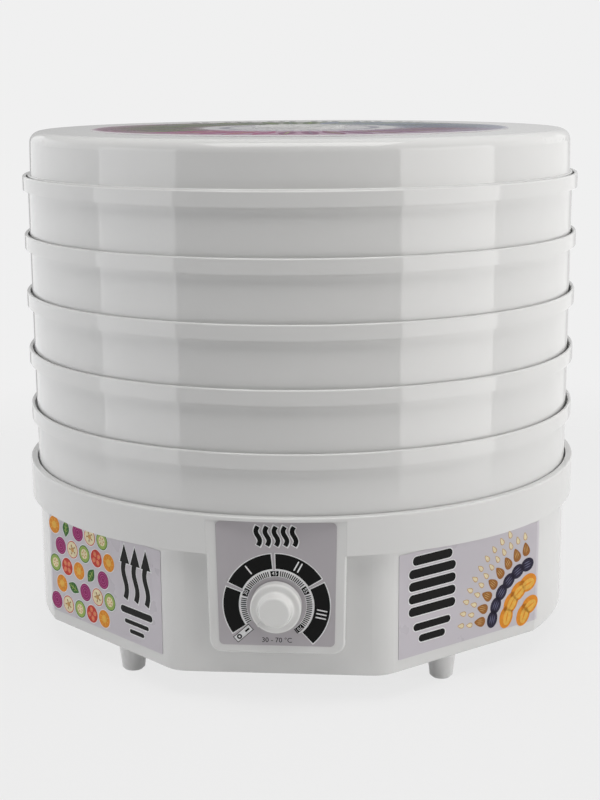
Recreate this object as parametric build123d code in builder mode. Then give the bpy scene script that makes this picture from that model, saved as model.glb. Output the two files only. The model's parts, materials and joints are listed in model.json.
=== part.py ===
from build123d import *
import os
from math import acos, asin, cos, degrees, pi, radians, sin, sqrt

# Round stacking food dehydrator: a heated fan base, nesting trays and a vented lid.
# Millimetres. The origin is on the stack's axis, on the surface that the feet stand on.
# +Z is up and the control boss faces -Y. Angles are counted from the front towards +X.

# Trays
TRAY_COUNT = 5
TRAY_PITCH = 39.0
TRAY_RADIUS = 186.5
TRAY_WALL = 2.0
COLLAR_WALL = 2.5
COLLAR_HEIGHT = 9.65
NEST_DEPTH = 8.0
NEST_CLEARANCE = 1.0
RIM_ROUNDING = 1.1
NET_LIFT = 1.5
NET_THICKNESS = 2.5
NET_LEDGE = 2.5
NET_CLEARANCE = 0.3
NET_EDGE = 3.0
NET_RIB = 2.4
NET_HUB_RADIUS = 30.0
NET_HUB_WIDTH = 4.0
NET_SPOKES = (16, 16, 32, 32, 32)

# Lid
LID_RISE = 28.8
LID_WALL = 2.0
LID_STEP = 1.7
LID_LIP = 0.6
LID_DRAFT = 0.6
LID_EDGE_RADIUS = 7.5
VENT_RADIUS = 28.0
VENT_RIM_WIDTH = 3.0
VENT_RIM_HEIGHT = 1.6
VENT_HUB_RADIUS = 7.0
VENT_SLOTS = 12
VENT_SLOT_WIDTH = 4.0
VENT_MARGIN = 3.0
LID_LABEL_WIDTH = 110.0
LID_LABEL_GAP = 2.0

# Base housing
FOOT_HEIGHT = 17.5
BASE_HEIGHT = 104.8
BASE_WALL = 2.5
BASE_COLLAR_WALL = 4.5
BASE_COLLAR_HEIGHT = 24.5
BASE_COLLAR_STEP = 5.5
BASE_EDGE_RADIUS = 1.6
COLLAR_EDGE_RADIUS = 1.2
FLAT_DEPTH = 8.7
SIDE_FLAT_DEPTH = 10.2
FLAT_ANGLE = 41.7
FLAT_CORNER_RADIUS = 20.0
SEAT_OVERLAP = 1.0
SEAT_THICKNESS = 4.0
DECK_THICKNESS = 2.5
DECK_OPENING_RADIUS = 90.0

# Control boss and the printed plates
BOSS_RISE = 9.2
BOSS_TOP_WIDTH = 86.4
BOSS_BOTTOM_WIDTH = 83.4
BOSS_LIP = 2.5
BOSS_FOOT = 17.0
BOSS_CORNER_RADIUS = 8.0
BOSS_EDGE_RADIUS = 1.8
LABEL_THICKNESS = 0.3
LABEL_CORNER_RADIUS = 3.0
DIAL_MARGIN = 6.2
DIAL_TOP_MARGIN = 1.0
DIAL_FOOT_MARGIN = 5.5
SIDE_LABEL_WIDTH = 122.0
SIDE_LABEL_SHIFT = 3.0
SIDE_LABEL_FOOT = 8.1
SIDE_LABEL_HEAD = 4.3
SIDE_LABEL_CORNER_RADIUS = 0.8

# Knob and thermostat
KNOB_RISE = 31.5
KNOB_RADIUS = 15.7
KNOB_GAP = 0.9
KNOB_SKIRT = 7.0
KNOB_GRIP_LENGTH = 7.0
KNOB_GRIP_ROOT_RADIUS = 10.9
KNOB_GRIP_TIP_RADIUS = 9.4
KNOB_ROUNDING = 1.6
KNOB_ROOF = 3.0
KNOB_POCKET_ROOF = 1.2
POINTER_LENGTH = 4.2
POINTER_WIDTH = 1.6
POINTER_HEIGHT = 0.6
KNOB_START_ANGLE = 225.0
CONTROL_SHAFT_RADIUS = 3.0
CONTROL_SHAFT_DEPTH = 12.0
BUSHING_RADIUS = 5.0
BUSHING_LENGTH = 3.6
NUT_RADIUS = 6.6
NUT_THICKNESS = 2.6
NUT_CLEARANCE = 1.6
THERMOSTAT_WIDTH = 32.0
THERMOSTAT_DEPTH = 20.0
THERMOSTAT_CORNER_RADIUS = 3.0

# Bottom plate and feet
PLATE_THICKNESS = 2.5
PLATE_CLEARANCE = 0.4
INTAKE_INNER_RADIUS = 14.0
INTAKE_OUTER_RADIUS = 56.0
INTAKE_SPOKES = (8, 12, 16, 16)
INTAKE_RIB = 4.0
FOOT_INSET = 22.3
FOOT_ANGLE = 37.95
FOOT_TOP_RADIUS = 9.4
FOOT_SOLE_RADIUS = 7.5
FOOT_SOLE_ROUNDING = 1.5
FOOT_PEG_RADIUS = 3.0
FOOT_HEAD_RADIUS = 4.5
FOOT_HEAD_HEIGHT = 2.0
CASE_POST_RADIUS = 5.0
CASE_POST_EMBED = 1.5
CASE_POST_ANGLES = (-140.0, -75.0, 75.0, 140.0)

# Air guard, heater and cut-out
GUARD_LAND = 9.0
GUARD_THICKNESS = 2.0
GUARD_HUB_RADIUS = 18.0
GUARD_SPOKES = (8, 12, 16, 20, 24)
GUARD_RIB = 5.0
CLAMP_ANGLES = (60.0, 180.0, 300.0)
HEATER_RADIUS = 72.0
HEATER_TUBE_RADIUS = 3.25
HEATER_DROP = 12.0
HEATER_END_GAP = 20.0
HEATER_BEND_RADIUS = 14.0
HEATER_END_LENGTH = 36.0
INSULATOR_RADIUS = 4.5
INSULATOR_LENGTH = 8.0
CLIP_WIDTH = 10.0
CLIP_THICKNESS = 1.2
CLIP_SIDE_GAP = 0.5
CLIP_SEAT_GAP = 0.1
CUTOUT_X = 70.0
CUTOUT_Y = -100.0
CUTOUT_RADIUS = 8.0
CUTOUT_HEIGHT = 10.0
CUTOUT_FLANGE = 1.5
CUTOUT_FLANGE_WIDTH = 14.0
CUTOUT_RIVET_SPACING = 24.0

# Motor and fan
MOTOR_RADIUS = 26.0
MOTOR_HEIGHT = 26.0
MOTOR_WALL = 1.5
MOTOR_ROOF = 3.0
MOTOR_CAP_THICKNESS = 2.0
MOTOR_LUG_WIDTH = 20.0
MOTOR_LUG_HEIGHT = 8.0
MOTOR_LUG_REACH = 4.0
BUSH_RADIUS = 5.0
BUSH_LENGTH = 4.0
MOTOR_SHAFT_RADIUS = 2.0
ROTOR_RADIUS = 11.0
ROTOR_LENGTH = 10.0
ROTOR_AIR_GAP = 0.5
STATOR_LENGTH = 11.0
WINDING_INNER_RADIUS = 14.0
WINDING_OUTER_RADIUS = 21.0
WINDING_HEIGHT = 2.2
BRACKET_RISE = 34.0
BRACKET_THICKNESS = 1.5
BRACKET_HUB_RADIUS = 24.0
BRACKET_ARM_WIDTH = 14.0
BRACKET_POST_RADIUS = 5.0
BRACKET_POST_CIRCLE = 66.0
BRACKET_POST_ANGLES = (0.0, 120.0, 240.0)
MOTOR_SCREW_CIRCLE = 16.0
FAN_RISE = 10.0
FAN_RADIUS = 60.0
FAN_HUB_RADIUS = 14.0
FAN_HUB_HEIGHT = 18.0
FAN_BLADES = 6
FAN_BLADE_CHORD = 24.0
FAN_BLADE_THICKNESS = 1.8
FAN_BLADE_PITCH = 32.0
RETAINER_RADIUS = 5.0
RETAINER_THICKNESS = 1.5
THRUST_GAP = 0.1

# Wiring and supply inlet
WIRE_RADIUS = 1.2
WIRE_BEND = 7.0
TAB_THICKNESS = 0.8
TAB_WIDTH = 6.3
TAB_LENGTH = 8.0
TAB_SPACING = 16.0
BLOCK_Y = 130.0
BLOCK_LENGTH = 34.0
BLOCK_DEPTH = 18.0
BLOCK_HEIGHT = 16.0
BLOCK_WELL_RADIUS = 2.5
BLOCK_WELL_DEPTH = 4.0
BLOCK_WELL_X = 11.0
LEAD_HEIGHT = 7.0
GLAND_RISE = 24.0
GLAND_RADIUS = 7.0
GLAND_BORE_RADIUS = 3.8
GLAND_FLANGE_RADIUS = 10.5
GLAND_FLANGE_THICKNESS = 2.5
GLAND_TAIL = 5.0
GLAND_PAD_RADIUS = 13.0
GLAND_PAD_RISE = 0.5

# Fasteners and fits
SCREW_RADIUS = 1.6
SCREW_HEAD_RADIUS = 3.0
SCREW_HEAD_HEIGHT = 2.0
SCREW_GRIP = 12.0
SCREW_TIP_GAP = 1.0
HOLE_CLEARANCE = 0.2
THREAD_CLEARANCE = 0.03
RUNNING_CLEARANCE = 0.03
HEX_NUT_RADIUS = 3.2
HEX_NUT_THICKNESS = 2.4
HEX_SIDES = 6
RIVET_RADIUS = 1.5
RIVET_HEAD_RADIUS = 2.6
RIVET_HEAD_HEIGHT = 1.0
ROUNDING_SHARE = 0.45

# Heights worked out from the driving sizes
BASE_RIM = FOOT_HEIGHT + BASE_HEIGHT
BASE_SEAT = BASE_RIM - NEST_DEPTH
COLLAR_FOOT = BASE_RIM - BASE_COLLAR_HEIGHT
DECK_TOP = BASE_SEAT - SEAT_THICKNESS
DECK_UNDERSIDE = DECK_TOP - DECK_THICKNESS
PLATE_TOP = FOOT_HEIGHT + PLATE_THICKNESS
BRACKET_Z = PLATE_TOP + BRACKET_RISE
BRACKET_TOP = BRACKET_Z + BRACKET_THICKNESS
MOTOR_BOTTOM = BRACKET_Z - MOTOR_HEIGHT
HEATER_Z = DECK_UNDERSIDE - HEATER_DROP
LID_SEAT = BASE_SEAT + TRAY_COUNT * TRAY_PITCH
BOSS_TOP = BASE_RIM - BOSS_LIP
BOSS_BOTTOM = FOOT_HEIGHT + BOSS_FOOT
KNOB_Z = BOSS_BOTTOM + KNOB_RISE

# Radii and distances worked out from the driving sizes
NEST_RADIUS = TRAY_RADIUS + NEST_CLEARANCE
COLLAR_RADIUS = NEST_RADIUS + COLLAR_WALL
TRAY_BORE = TRAY_RADIUS - TRAY_WALL
BASE_COLLAR_RADIUS = NEST_RADIUS + BASE_COLLAR_WALL
BASE_RADIUS = BASE_COLLAR_RADIUS - BASE_COLLAR_STEP
FLAT_APOTHEM = BASE_RADIUS - FLAT_DEPTH
SIDE_APOTHEM = BASE_RADIUS - SIDE_FLAT_DEPTH
BOSS_FRONT = FLAT_APOTHEM + BOSS_RISE
BOSS_INSIDE = BOSS_FRONT - BASE_WALL
CASE_POST_CIRCLE = BASE_RADIUS - BASE_WALL + CASE_POST_EMBED - CASE_POST_RADIUS
FOOT_CIRCLE = BASE_RADIUS - FOOT_INSET
GUARD_RADIUS = DECK_OPENING_RADIUS + GUARD_LAND
CLAMP_CIRCLE = DECK_OPENING_RADIUS + GUARD_LAND / 2
GLAND_Z = FOOT_HEIGHT + GLAND_RISE
GLAND_FACE = BASE_RADIUS + GLAND_PAD_RISE
LID_LABEL_BORE = VENT_RADIUS + VENT_RIM_WIDTH + LID_LABEL_GAP

os.makedirs("parts", exist_ok=True)


def save(part, name):
    """Label a finished piece and write it."""
    part.label = name
    export_step(part, f"parts/{name}.step")


def around(radius, angle):
    """Point at a radius and an angle from the front."""
    return (radius * sin(radians(angle)), -radius * cos(radians(angle)))


def upright(x, y, z):
    """Plane whose own Y runs up, for turning a profile about a vertical line."""
    return Plane(origin=(x, y, z), x_dir=(1, 0, 0), z_dir=(0, -1, 0))


def hanging(x, y, z):
    """Plane whose own Y runs down."""
    return Plane(origin=(x, y, z), x_dir=(1, 0, 0), z_dir=(0, 1, 0))


def facing_front(distance, z):
    """Plane whose own Y runs out of the control boss."""
    return Plane(origin=(0, -distance, z), x_dir=(1, 0, 0), z_dir=(0, 0, -1))


def turned(points, planes):
    """Solids turned from one (radius, height) outline about the own Y of each plane."""
    with BuildPart() as piece:
        for plane in planes:
            with BuildSketch(plane):
                with BuildLine():
                    Polyline(*points, close=True)
                make_face()
            revolve(axis=Axis(plane.origin, plane.y_dir))
    return piece.part


def screw_outline(grip):
    """Half outline of a screw with its head above height 0 and its shank below."""
    shank = SCREW_RADIUS - THREAD_CLEARANCE
    return [
        (0, -grip),
        (shank, -grip),
        (shank, 0),
        (SCREW_HEAD_RADIUS, 0),
        (SCREW_HEAD_RADIUS, SCREW_HEAD_HEIGHT),
        (0, SCREW_HEAD_HEIGHT),
    ]


def base_outline(inset):
    """Drum outline, a circle with three flats at the front, moved inwards by inset."""
    radius = BASE_RADIUS - inset
    front = FLAT_APOTHEM - inset
    slant = SIDE_APOTHEM - inset
    flat_end = FLAT_ANGLE + degrees(acos(slant / radius))
    corner_x = (slant - front * cos(radians(FLAT_ANGLE))) / sin(radians(FLAT_ANGLE))
    with BuildSketch() as outline:
        with BuildLine():
            Polyline(
                around(radius, -flat_end),
                (-corner_x, -front),
                (corner_x, -front),
                around(radius, flat_end),
            )
            ThreePointArc(around(radius, flat_end), (0, radius), around(radius, -flat_end))
        make_face()
        fillet(outline.vertices().group_by(Axis.Y)[0], FLAT_CORNER_RADIUS - inset)
    return outline.sketch


def boss_outline(inset, head, foot):
    """Tapered boss outline between two heights, moved inwards by inset at its sides."""
    half_top = BOSS_TOP_WIDTH / 2 - inset
    half_bottom = BOSS_BOTTOM_WIDTH / 2 - inset
    return [(-half_bottom, foot), (half_bottom, foot), (half_top, head), (-half_top, head)]


def net_cell(inner, outer, count, rib):
    """One gap of a round net, between two ring ribs and two spokes."""
    low = inner + rib / 2
    high = outer - rib / 2
    low_half = pi / count - asin(rib / 2 / low)
    high_half = pi / count - asin(rib / 2 / high)
    low_ends = [(low * cos(a), low * sin(a)) for a in (-low_half, low_half)]
    high_ends = [(high * cos(a), high * sin(a)) for a in (-high_half, high_half)]
    with BuildSketch() as cell:
        with BuildLine():
            ThreePointArc(low_ends[0], (low, 0), low_ends[1])
            Line(low_ends[1], high_ends[1])
            ThreePointArc(high_ends[1], (high, 0), high_ends[0])
            Line(high_ends[0], low_ends[0])
        make_face()
    return cell.sketch


def net_cells(inner, outer, spoke_counts, rib):
    """One gap for each ring of a round net from inner to outer, with its number of spokes."""
    step = (outer - inner) / len(spoke_counts)
    return [
        (net_cell(inner + ring * step, inner + (ring + 1) * step, count, rib), count)
        for ring, count in enumerate(spoke_counts)
    ]


# Tray: a straight wall with a ledge at its foot, and a wider collar that takes the tray above
tray_rim = TRAY_PITCH + NEST_DEPTH
tray_outline = [
    (TRAY_BORE - NET_LEDGE, 0),
    (TRAY_RADIUS, 0),
    (TRAY_RADIUS, tray_rim - COLLAR_HEIGHT),
    (COLLAR_RADIUS, tray_rim - COLLAR_HEIGHT),
    (COLLAR_RADIUS, tray_rim),
    (NEST_RADIUS, tray_rim),
    (NEST_RADIUS, TRAY_PITCH),
    (TRAY_BORE, TRAY_PITCH),
    (TRAY_BORE, NET_LIFT),
    (TRAY_BORE - NET_LEDGE, NET_LIFT),
]

with BuildPart() as tray:
    with BuildSketch(upright(0, 0, 0)) as tray_half:
        with BuildLine():
            Polyline(*tray_outline, close=True)
        make_face()
        rim_corners = tray_half.vertices().group_by(Axis.Y)[-1]
        fillet(rim_corners, min(RIM_ROUNDING, COLLAR_WALL * ROUNDING_SHARE))
    revolve(axis=Axis.Z)

# Net floor that lies on the ledge of its tray, open round a hub
net_radius = TRAY_BORE - NET_CLEARANCE
net_reach = net_radius - NET_EDGE + NET_RIB / 2
tray_cells = net_cells(NET_HUB_RADIUS + NET_HUB_WIDTH, net_reach, NET_SPOKES, NET_RIB)

with BuildPart() as tray_net:
    with BuildSketch(Plane.XY.offset(NET_LIFT)):
        Circle(net_radius)
        Circle(NET_HUB_RADIUS, mode=Mode.SUBTRACT)
    extrude(amount=NET_THICKNESS)
    with BuildSketch(Plane.XY.offset(NET_LIFT)):
        for cell, count in tray_cells:
            with PolarLocations(0, count):
                add(cell)
    extrude(amount=NET_THICKNESS, mode=Mode.SUBTRACT)

for level in range(TRAY_COUNT):
    seat = Location((0, 0, BASE_SEAT + (TRAY_COUNT - 1 - level) * TRAY_PITCH))
    save(tray.part.moved(seat), f"tray_{level + 1}")
    save(tray_net.part.moved(seat), f"tray_{level + 1}_net")

# Lid: a foot flange that nests in the top tray, a plain wall, a rounded edge and a flat vented top
lid_top = NEST_DEPTH + LID_RISE
lid_foot_radius = TRAY_RADIUS - LID_STEP
lid_edge_radius = lid_foot_radius - LID_DRAFT
lid_shell = [
    (0, lid_top),
    (lid_edge_radius, lid_top),
    (lid_foot_radius, NEST_DEPTH + LID_LIP),
    (TRAY_RADIUS, NEST_DEPTH + LID_LIP),
    (TRAY_RADIUS, 0),
    (lid_foot_radius - LID_WALL, 0),
    (lid_edge_radius - LID_WALL, lid_top - LID_WALL),
    (0, lid_top - LID_WALL),
]
slot_start = VENT_HUB_RADIUS + VENT_MARGIN
slot_end = VENT_RADIUS - VENT_MARGIN

with BuildPart() as lid:
    with BuildSketch(upright(0, 0, LID_SEAT)) as shell_profile:
        with BuildLine():
            Polyline(*lid_shell, close=True)
        make_face()
        corners = shell_profile.vertices()
        fillet(corners.sort_by_distance((lid_edge_radius, lid_top))[0], LID_EDGE_RADIUS)
        corners = shell_profile.vertices()
        inner_edge = (lid_edge_radius - LID_WALL, lid_top - LID_WALL)
        fillet(corners.sort_by_distance(inner_edge)[0], LID_EDGE_RADIUS - LID_WALL)
        corners = shell_profile.vertices()
        fillet(corners.sort_by_distance((TRAY_RADIUS, NEST_DEPTH + LID_LIP))[0], LID_STEP / 2)
    revolve(axis=Axis.Z)
    with BuildSketch(Plane.XY.offset(LID_SEAT + lid_top)):
        Circle(VENT_RADIUS + VENT_RIM_WIDTH)
        Circle(VENT_RADIUS, mode=Mode.SUBTRACT)
        Circle(VENT_HUB_RADIUS)
    extrude(amount=VENT_RIM_HEIGHT)
    with BuildSketch(Plane.XY.offset(LID_SEAT + lid_top)):
        with PolarLocations((slot_start + slot_end) / 2, VENT_SLOTS):
            SlotOverall(slot_end - slot_start, VENT_SLOT_WIDTH)
    extrude(amount=-LID_WALL, mode=Mode.SUBTRACT)
save(lid.part, "lid")

with BuildPart() as lid_label:
    with BuildSketch(Plane.XY.offset(LID_SEAT + lid_top)):
        Circle(LID_LABEL_BORE + LID_LABEL_WIDTH)
        Circle(LID_LABEL_BORE, mode=Mode.SUBTRACT)
    extrude(amount=LABEL_THICKNESS)
save(lid_label.part, "lid_label")

# Base housing
outer_outline = base_outline(0)
inner_outline = base_outline(BASE_WALL)
plate_outline = base_outline(BASE_WALL + PLATE_CLEARANCE)
label_outline = base_outline(-LABEL_THICKNESS)
case_posts = [around(CASE_POST_CIRCLE, angle) for angle in CASE_POST_ANGLES]
clamp_points = [around(CLAMP_CIRCLE, angle) for angle in CLAMP_ANGLES]
rivet_points = [(CUTOUT_X + side * CUTOUT_RIVET_SPACING / 2, CUTOUT_Y) for side in (-1, 1)]

with BuildPart() as boss:
    with BuildSketch(Plane.XZ.offset(BOSS_FRONT)) as boss_face:
        with BuildLine():
            Polyline(*boss_outline(0, BOSS_TOP, BOSS_BOTTOM), close=True)
        make_face()
        fillet(boss_face.vertices().group_by(Axis.Y)[0], BOSS_CORNER_RADIUS)
    extrude(amount=-(BOSS_RISE + BASE_WALL))
    front_edges = boss.faces().sort_by(Axis.Y)[0].edges().sort_by(Axis.Z)[:-1]
    fillet(front_edges, BOSS_EDGE_RADIUS)

with BuildPart() as base_housing:
    with BuildSketch(Plane.XY.offset(FOOT_HEIGHT)):
        add(outer_outline)
    extrude(amount=COLLAR_FOOT - FOOT_HEIGHT)
    drum_edges = base_housing.faces().sort_by(Axis.Z)[0].edges()
    fillet(drum_edges, min(BASE_EDGE_RADIUS, 2 * BASE_WALL * ROUNDING_SHARE))
    with BuildSketch(Plane.XZ.offset(-GLAND_FACE)):
        with Locations((0, GLAND_Z)):
            Circle(GLAND_PAD_RADIUS)
    extrude(amount=GLAND_PAD_RISE + BASE_WALL)
    with BuildSketch(Plane.XY.offset(COLLAR_FOOT)):
        Circle(BASE_COLLAR_RADIUS)
    extrude(amount=BASE_COLLAR_HEIGHT)
    fillet(base_housing.faces().sort_by(Axis.Z)[-1].edges(), COLLAR_EDGE_RADIUS)
    # The collar is cut back flat where the boss runs up into it
    with BuildSketch(Plane.XZ.offset(BOSS_FRONT)):
        with BuildLine():
            Polyline(*boss_outline(0, BOSS_TOP, BOSS_BOTTOM), close=True)
        make_face()
    extrude(amount=BASE_COLLAR_RADIUS, mode=Mode.SUBTRACT)
    add(boss.part)
    # Hollow of the drum, of the collar and of the boss
    with BuildSketch(Plane.XY.offset(FOOT_HEIGHT)):
        add(inner_outline)
    extrude(amount=COLLAR_FOOT + BASE_WALL - FOOT_HEIGHT, mode=Mode.SUBTRACT)
    with BuildSketch(Plane.XY.offset(COLLAR_FOOT)):
        Circle(BASE_RADIUS - BASE_WALL)
    extrude(amount=DECK_UNDERSIDE - COLLAR_FOOT, mode=Mode.SUBTRACT)
    with BuildSketch(Plane.XZ.offset(BOSS_INSIDE)):
        with BuildLine():
            Polyline(*boss_outline(BASE_WALL, COLLAR_FOOT, BOSS_BOTTOM + BASE_WALL), close=True)
        make_face()
    extrude(amount=-(BOSS_RISE + BASE_WALL), mode=Mode.SUBTRACT)
    # Nest for the lowest tray, its ledge and the deck opening
    with BuildSketch(Plane.XY.offset(BASE_SEAT)):
        Circle(NEST_RADIUS)
    extrude(amount=NEST_DEPTH, mode=Mode.SUBTRACT)
    with BuildSketch(Plane.XY.offset(DECK_TOP)):
        Circle(TRAY_BORE - SEAT_OVERLAP)
    extrude(amount=SEAT_THICKNESS, mode=Mode.SUBTRACT)
    with BuildSketch(Plane.XY.offset(DECK_UNDERSIDE)):
        Circle(DECK_OPENING_RADIUS)
        with Locations(*clamp_points):
            Circle(SCREW_RADIUS + HOLE_CLEARANCE)
        with Locations(*rivet_points):
            Circle(RIVET_RADIUS + THREAD_CLEARANCE)
    extrude(amount=DECK_THICKNESS, mode=Mode.SUBTRACT)
    # Posts for the case screws, grown out of the wall
    with BuildSketch(Plane.XY.offset(PLATE_TOP)):
        with Locations(*case_posts):
            Circle(CASE_POST_RADIUS)
    extrude(amount=DECK_UNDERSIDE - PLATE_TOP)
    with BuildSketch(Plane.XY.offset(PLATE_TOP)):
        with Locations(*case_posts):
            Circle(SCREW_RADIUS)
    extrude(amount=SCREW_GRIP + SCREW_TIP_GAP, mode=Mode.SUBTRACT)
    # Holes for the control bushing and the supply inlet
    with BuildSketch(Plane.XZ.offset(BOSS_FRONT)):
        with Locations((0, KNOB_Z)):
            Circle(BUSHING_RADIUS + HOLE_CLEARANCE)
    extrude(amount=-BASE_WALL, mode=Mode.SUBTRACT)
    with BuildSketch(Plane.XZ.offset(-GLAND_FACE)):
        with Locations((0, GLAND_Z)):
            Circle(GLAND_RADIUS + THREAD_CLEARANCE)
    extrude(amount=2 * BASE_WALL + GLAND_PAD_RISE, mode=Mode.SUBTRACT)
save(base_housing.part, "base_housing")

# Printed plates on the boss and on the two slanted flats
nut_pocket_radius = NUT_RADIUS + NUT_CLEARANCE

with BuildPart() as dial_label:
    with BuildSketch(Plane.XZ.offset(BOSS_FRONT)) as dial_face:
        with BuildLine():
            dial_head = BOSS_TOP - DIAL_TOP_MARGIN
            dial_foot = BOSS_BOTTOM + DIAL_FOOT_MARGIN
            Polyline(*boss_outline(DIAL_MARGIN, dial_head, dial_foot), close=True)
        make_face()
        fillet(dial_face.vertices(), LABEL_CORNER_RADIUS)
        with Locations((0, KNOB_Z)):
            Circle(nut_pocket_radius, mode=Mode.SUBTRACT)
    extrude(amount=LABEL_THICKNESS)
save(dial_label.part, "dial_label")

side_label_foot = FOOT_HEIGHT + SIDE_LABEL_FOOT
side_label_height = COLLAR_FOOT - SIDE_LABEL_HEAD - side_label_foot
for side, name in ((-1, "left_label"), (1, "right_label")):
    flat_x, flat_y = around(SIDE_APOTHEM, side * FLAT_ANGLE)
    flat_plane = Plane(
        origin=(flat_x, flat_y, side_label_foot + side_label_height / 2),
        x_dir=(-flat_y, flat_x, 0),
        z_dir=(flat_x, flat_y, 0),
    )
    with BuildPart() as side_label:
        with BuildSketch(Plane.XY.offset(side_label_foot)):
            add(label_outline)
            add(outer_outline, mode=Mode.SUBTRACT)
        extrude(amount=side_label_height)
        with BuildSketch(flat_plane):
            with Locations((side * SIDE_LABEL_SHIFT, 0)):
                RectangleRounded(SIDE_LABEL_WIDTH, side_label_height, SIDE_LABEL_CORNER_RADIUS)
        extrude(amount=SIDE_FLAT_DEPTH, both=True, mode=Mode.INTERSECT)
    save(side_label.part, name)

# Knob with a skirt, a tapered grip, a pocket over the nut and a raised pointer
knob_back = LABEL_THICKNESS + KNOB_GAP
skirt_front = knob_back + KNOB_SKIRT
knob_front = skirt_front + KNOB_GRIP_LENGTH
shaft_front = knob_front - KNOB_ROOF
pocket_roof = skirt_front - KNOB_POCKET_ROOF
knob_plane = facing_front(BOSS_FRONT, KNOB_Z)
knob_profile = [
    (nut_pocket_radius, knob_back),
    (KNOB_RADIUS, knob_back),
    (KNOB_RADIUS, skirt_front),
    (KNOB_GRIP_ROOT_RADIUS, skirt_front),
    (KNOB_GRIP_TIP_RADIUS, knob_front),
    (0, knob_front),
    (0, shaft_front),
    (CONTROL_SHAFT_RADIUS, shaft_front),
    (CONTROL_SHAFT_RADIUS, pocket_roof),
    (nut_pocket_radius, pocket_roof),
]
pointer_middle = (KNOB_GRIP_ROOT_RADIUS + KNOB_RADIUS) / 2
pointer_x = pointer_middle * cos(radians(KNOB_START_ANGLE))
pointer_z = pointer_middle * sin(radians(KNOB_START_ANGLE))

with BuildPart() as knob:
    with BuildSketch(knob_plane) as knob_half:
        with BuildLine():
            Polyline(*knob_profile, close=True)
        make_face()
        for rounded in knob_profile[2:5]:
            fillet(knob_half.vertices().sort_by_distance(rounded)[0], KNOB_ROUNDING)
    revolve(axis=Axis(knob_plane.origin, knob_plane.y_dir))
    with BuildSketch(Plane.XZ.offset(BOSS_FRONT + pocket_roof)):
        with Locations((pointer_x, KNOB_Z + pointer_z)):
            Rectangle(POINTER_LENGTH, POINTER_WIDTH, rotation=KNOB_START_ANGLE)
    extrude(amount=KNOB_POCKET_ROOF + POINTER_HEIGHT)
save(knob.part, "knob")

# Thermostat behind the boss: its case, threaded bushing, tabs, nut and turning shaft
tab_xs = (-TAB_SPACING / 2, TAB_SPACING / 2)
thermostat_back = BOSS_INSIDE - THERMOSTAT_DEPTH

with BuildPart() as thermostat:
    with BuildSketch(Plane.XZ.offset(BOSS_INSIDE)):
        with Locations((0, KNOB_Z)):
            RectangleRounded(THERMOSTAT_WIDTH, THERMOSTAT_WIDTH, THERMOSTAT_CORNER_RADIUS)
    extrude(amount=-THERMOSTAT_DEPTH)
    with BuildSketch(Plane.XZ.offset(BOSS_INSIDE)):
        with Locations((0, KNOB_Z)):
            Circle(BUSHING_RADIUS)
    extrude(amount=BASE_WALL + BUSHING_LENGTH)
    with BuildSketch(Plane.XZ.offset(thermostat_back)):
        with Locations(*[(x, KNOB_Z) for x in tab_xs]):
            Rectangle(TAB_THICKNESS, TAB_WIDTH)
    extrude(amount=-TAB_LENGTH)
    with BuildSketch(Plane.XZ.offset(BOSS_FRONT + BUSHING_LENGTH)):
        with Locations((0, KNOB_Z)):
            Circle(CONTROL_SHAFT_RADIUS + RUNNING_CLEARANCE)
    extrude(amount=-(BUSHING_LENGTH + BASE_WALL + CONTROL_SHAFT_DEPTH), mode=Mode.SUBTRACT)
save(thermostat.part, "thermostat")

shaft_back = THRUST_GAP - BASE_WALL - CONTROL_SHAFT_DEPTH
control_shaft = [
    (0, shaft_back),
    (CONTROL_SHAFT_RADIUS, shaft_back),
    (CONTROL_SHAFT_RADIUS, shaft_front),
    (0, shaft_front),
]
save(turned(control_shaft, [knob_plane]), "thermostat_shaft")

with BuildPart() as thermostat_nut:
    with BuildSketch(Plane.XZ.offset(BOSS_FRONT)):
        with Locations((0, KNOB_Z)):
            RegularPolygon(NUT_RADIUS, HEX_SIDES)
            Circle(BUSHING_RADIUS + THREAD_CLEARANCE, mode=Mode.SUBTRACT)
    extrude(amount=NUT_THICKNESS)
save(thermostat_nut.part, "thermostat_nut")

# Bottom plate with the air intake, the motor posts and the holes for feet and screws
intake_cells = net_cells(INTAKE_INNER_RADIUS, INTAKE_OUTER_RADIUS, INTAKE_SPOKES, INTAKE_RIB)
foot_places = {
    "foot_front_left": around(FOOT_CIRCLE, -FOOT_ANGLE),
    "foot_front_right": around(FOOT_CIRCLE, FOOT_ANGLE),
    "foot_rear_left": around(FOOT_CIRCLE, FOOT_ANGLE - 180),
    "foot_rear_right": around(FOOT_CIRCLE, 180 - FOOT_ANGLE),
}
motor_posts = [around(BRACKET_POST_CIRCLE, angle) for angle in BRACKET_POST_ANGLES]

with BuildPart() as bottom_plate:
    with BuildSketch(Plane.XY.offset(FOOT_HEIGHT)):
        add(plate_outline)
        with Locations(*foot_places.values()):
            Circle(FOOT_PEG_RADIUS + THREAD_CLEARANCE, mode=Mode.SUBTRACT)
        with Locations(*case_posts):
            Circle(SCREW_RADIUS + HOLE_CLEARANCE, mode=Mode.SUBTRACT)
        with Locations((0, BLOCK_Y)):
            Circle(SCREW_RADIUS, mode=Mode.SUBTRACT)
    extrude(amount=PLATE_THICKNESS)
    with BuildSketch(Plane.XY.offset(FOOT_HEIGHT)):
        for cell, count in intake_cells:
            with PolarLocations(0, count):
                add(cell)
    extrude(amount=PLATE_THICKNESS, mode=Mode.SUBTRACT)
    with BuildSketch(Plane.XY.offset(PLATE_TOP)):
        with Locations(*motor_posts):
            Circle(BRACKET_POST_RADIUS)
    extrude(amount=BRACKET_RISE)
    with BuildSketch(Plane.XY.offset(BRACKET_Z)):
        with Locations(*motor_posts):
            Circle(SCREW_RADIUS)
    extrude(amount=-(SCREW_GRIP + SCREW_TIP_GAP), mode=Mode.SUBTRACT)
save(bottom_plate.part, "bottom_plate")

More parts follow.
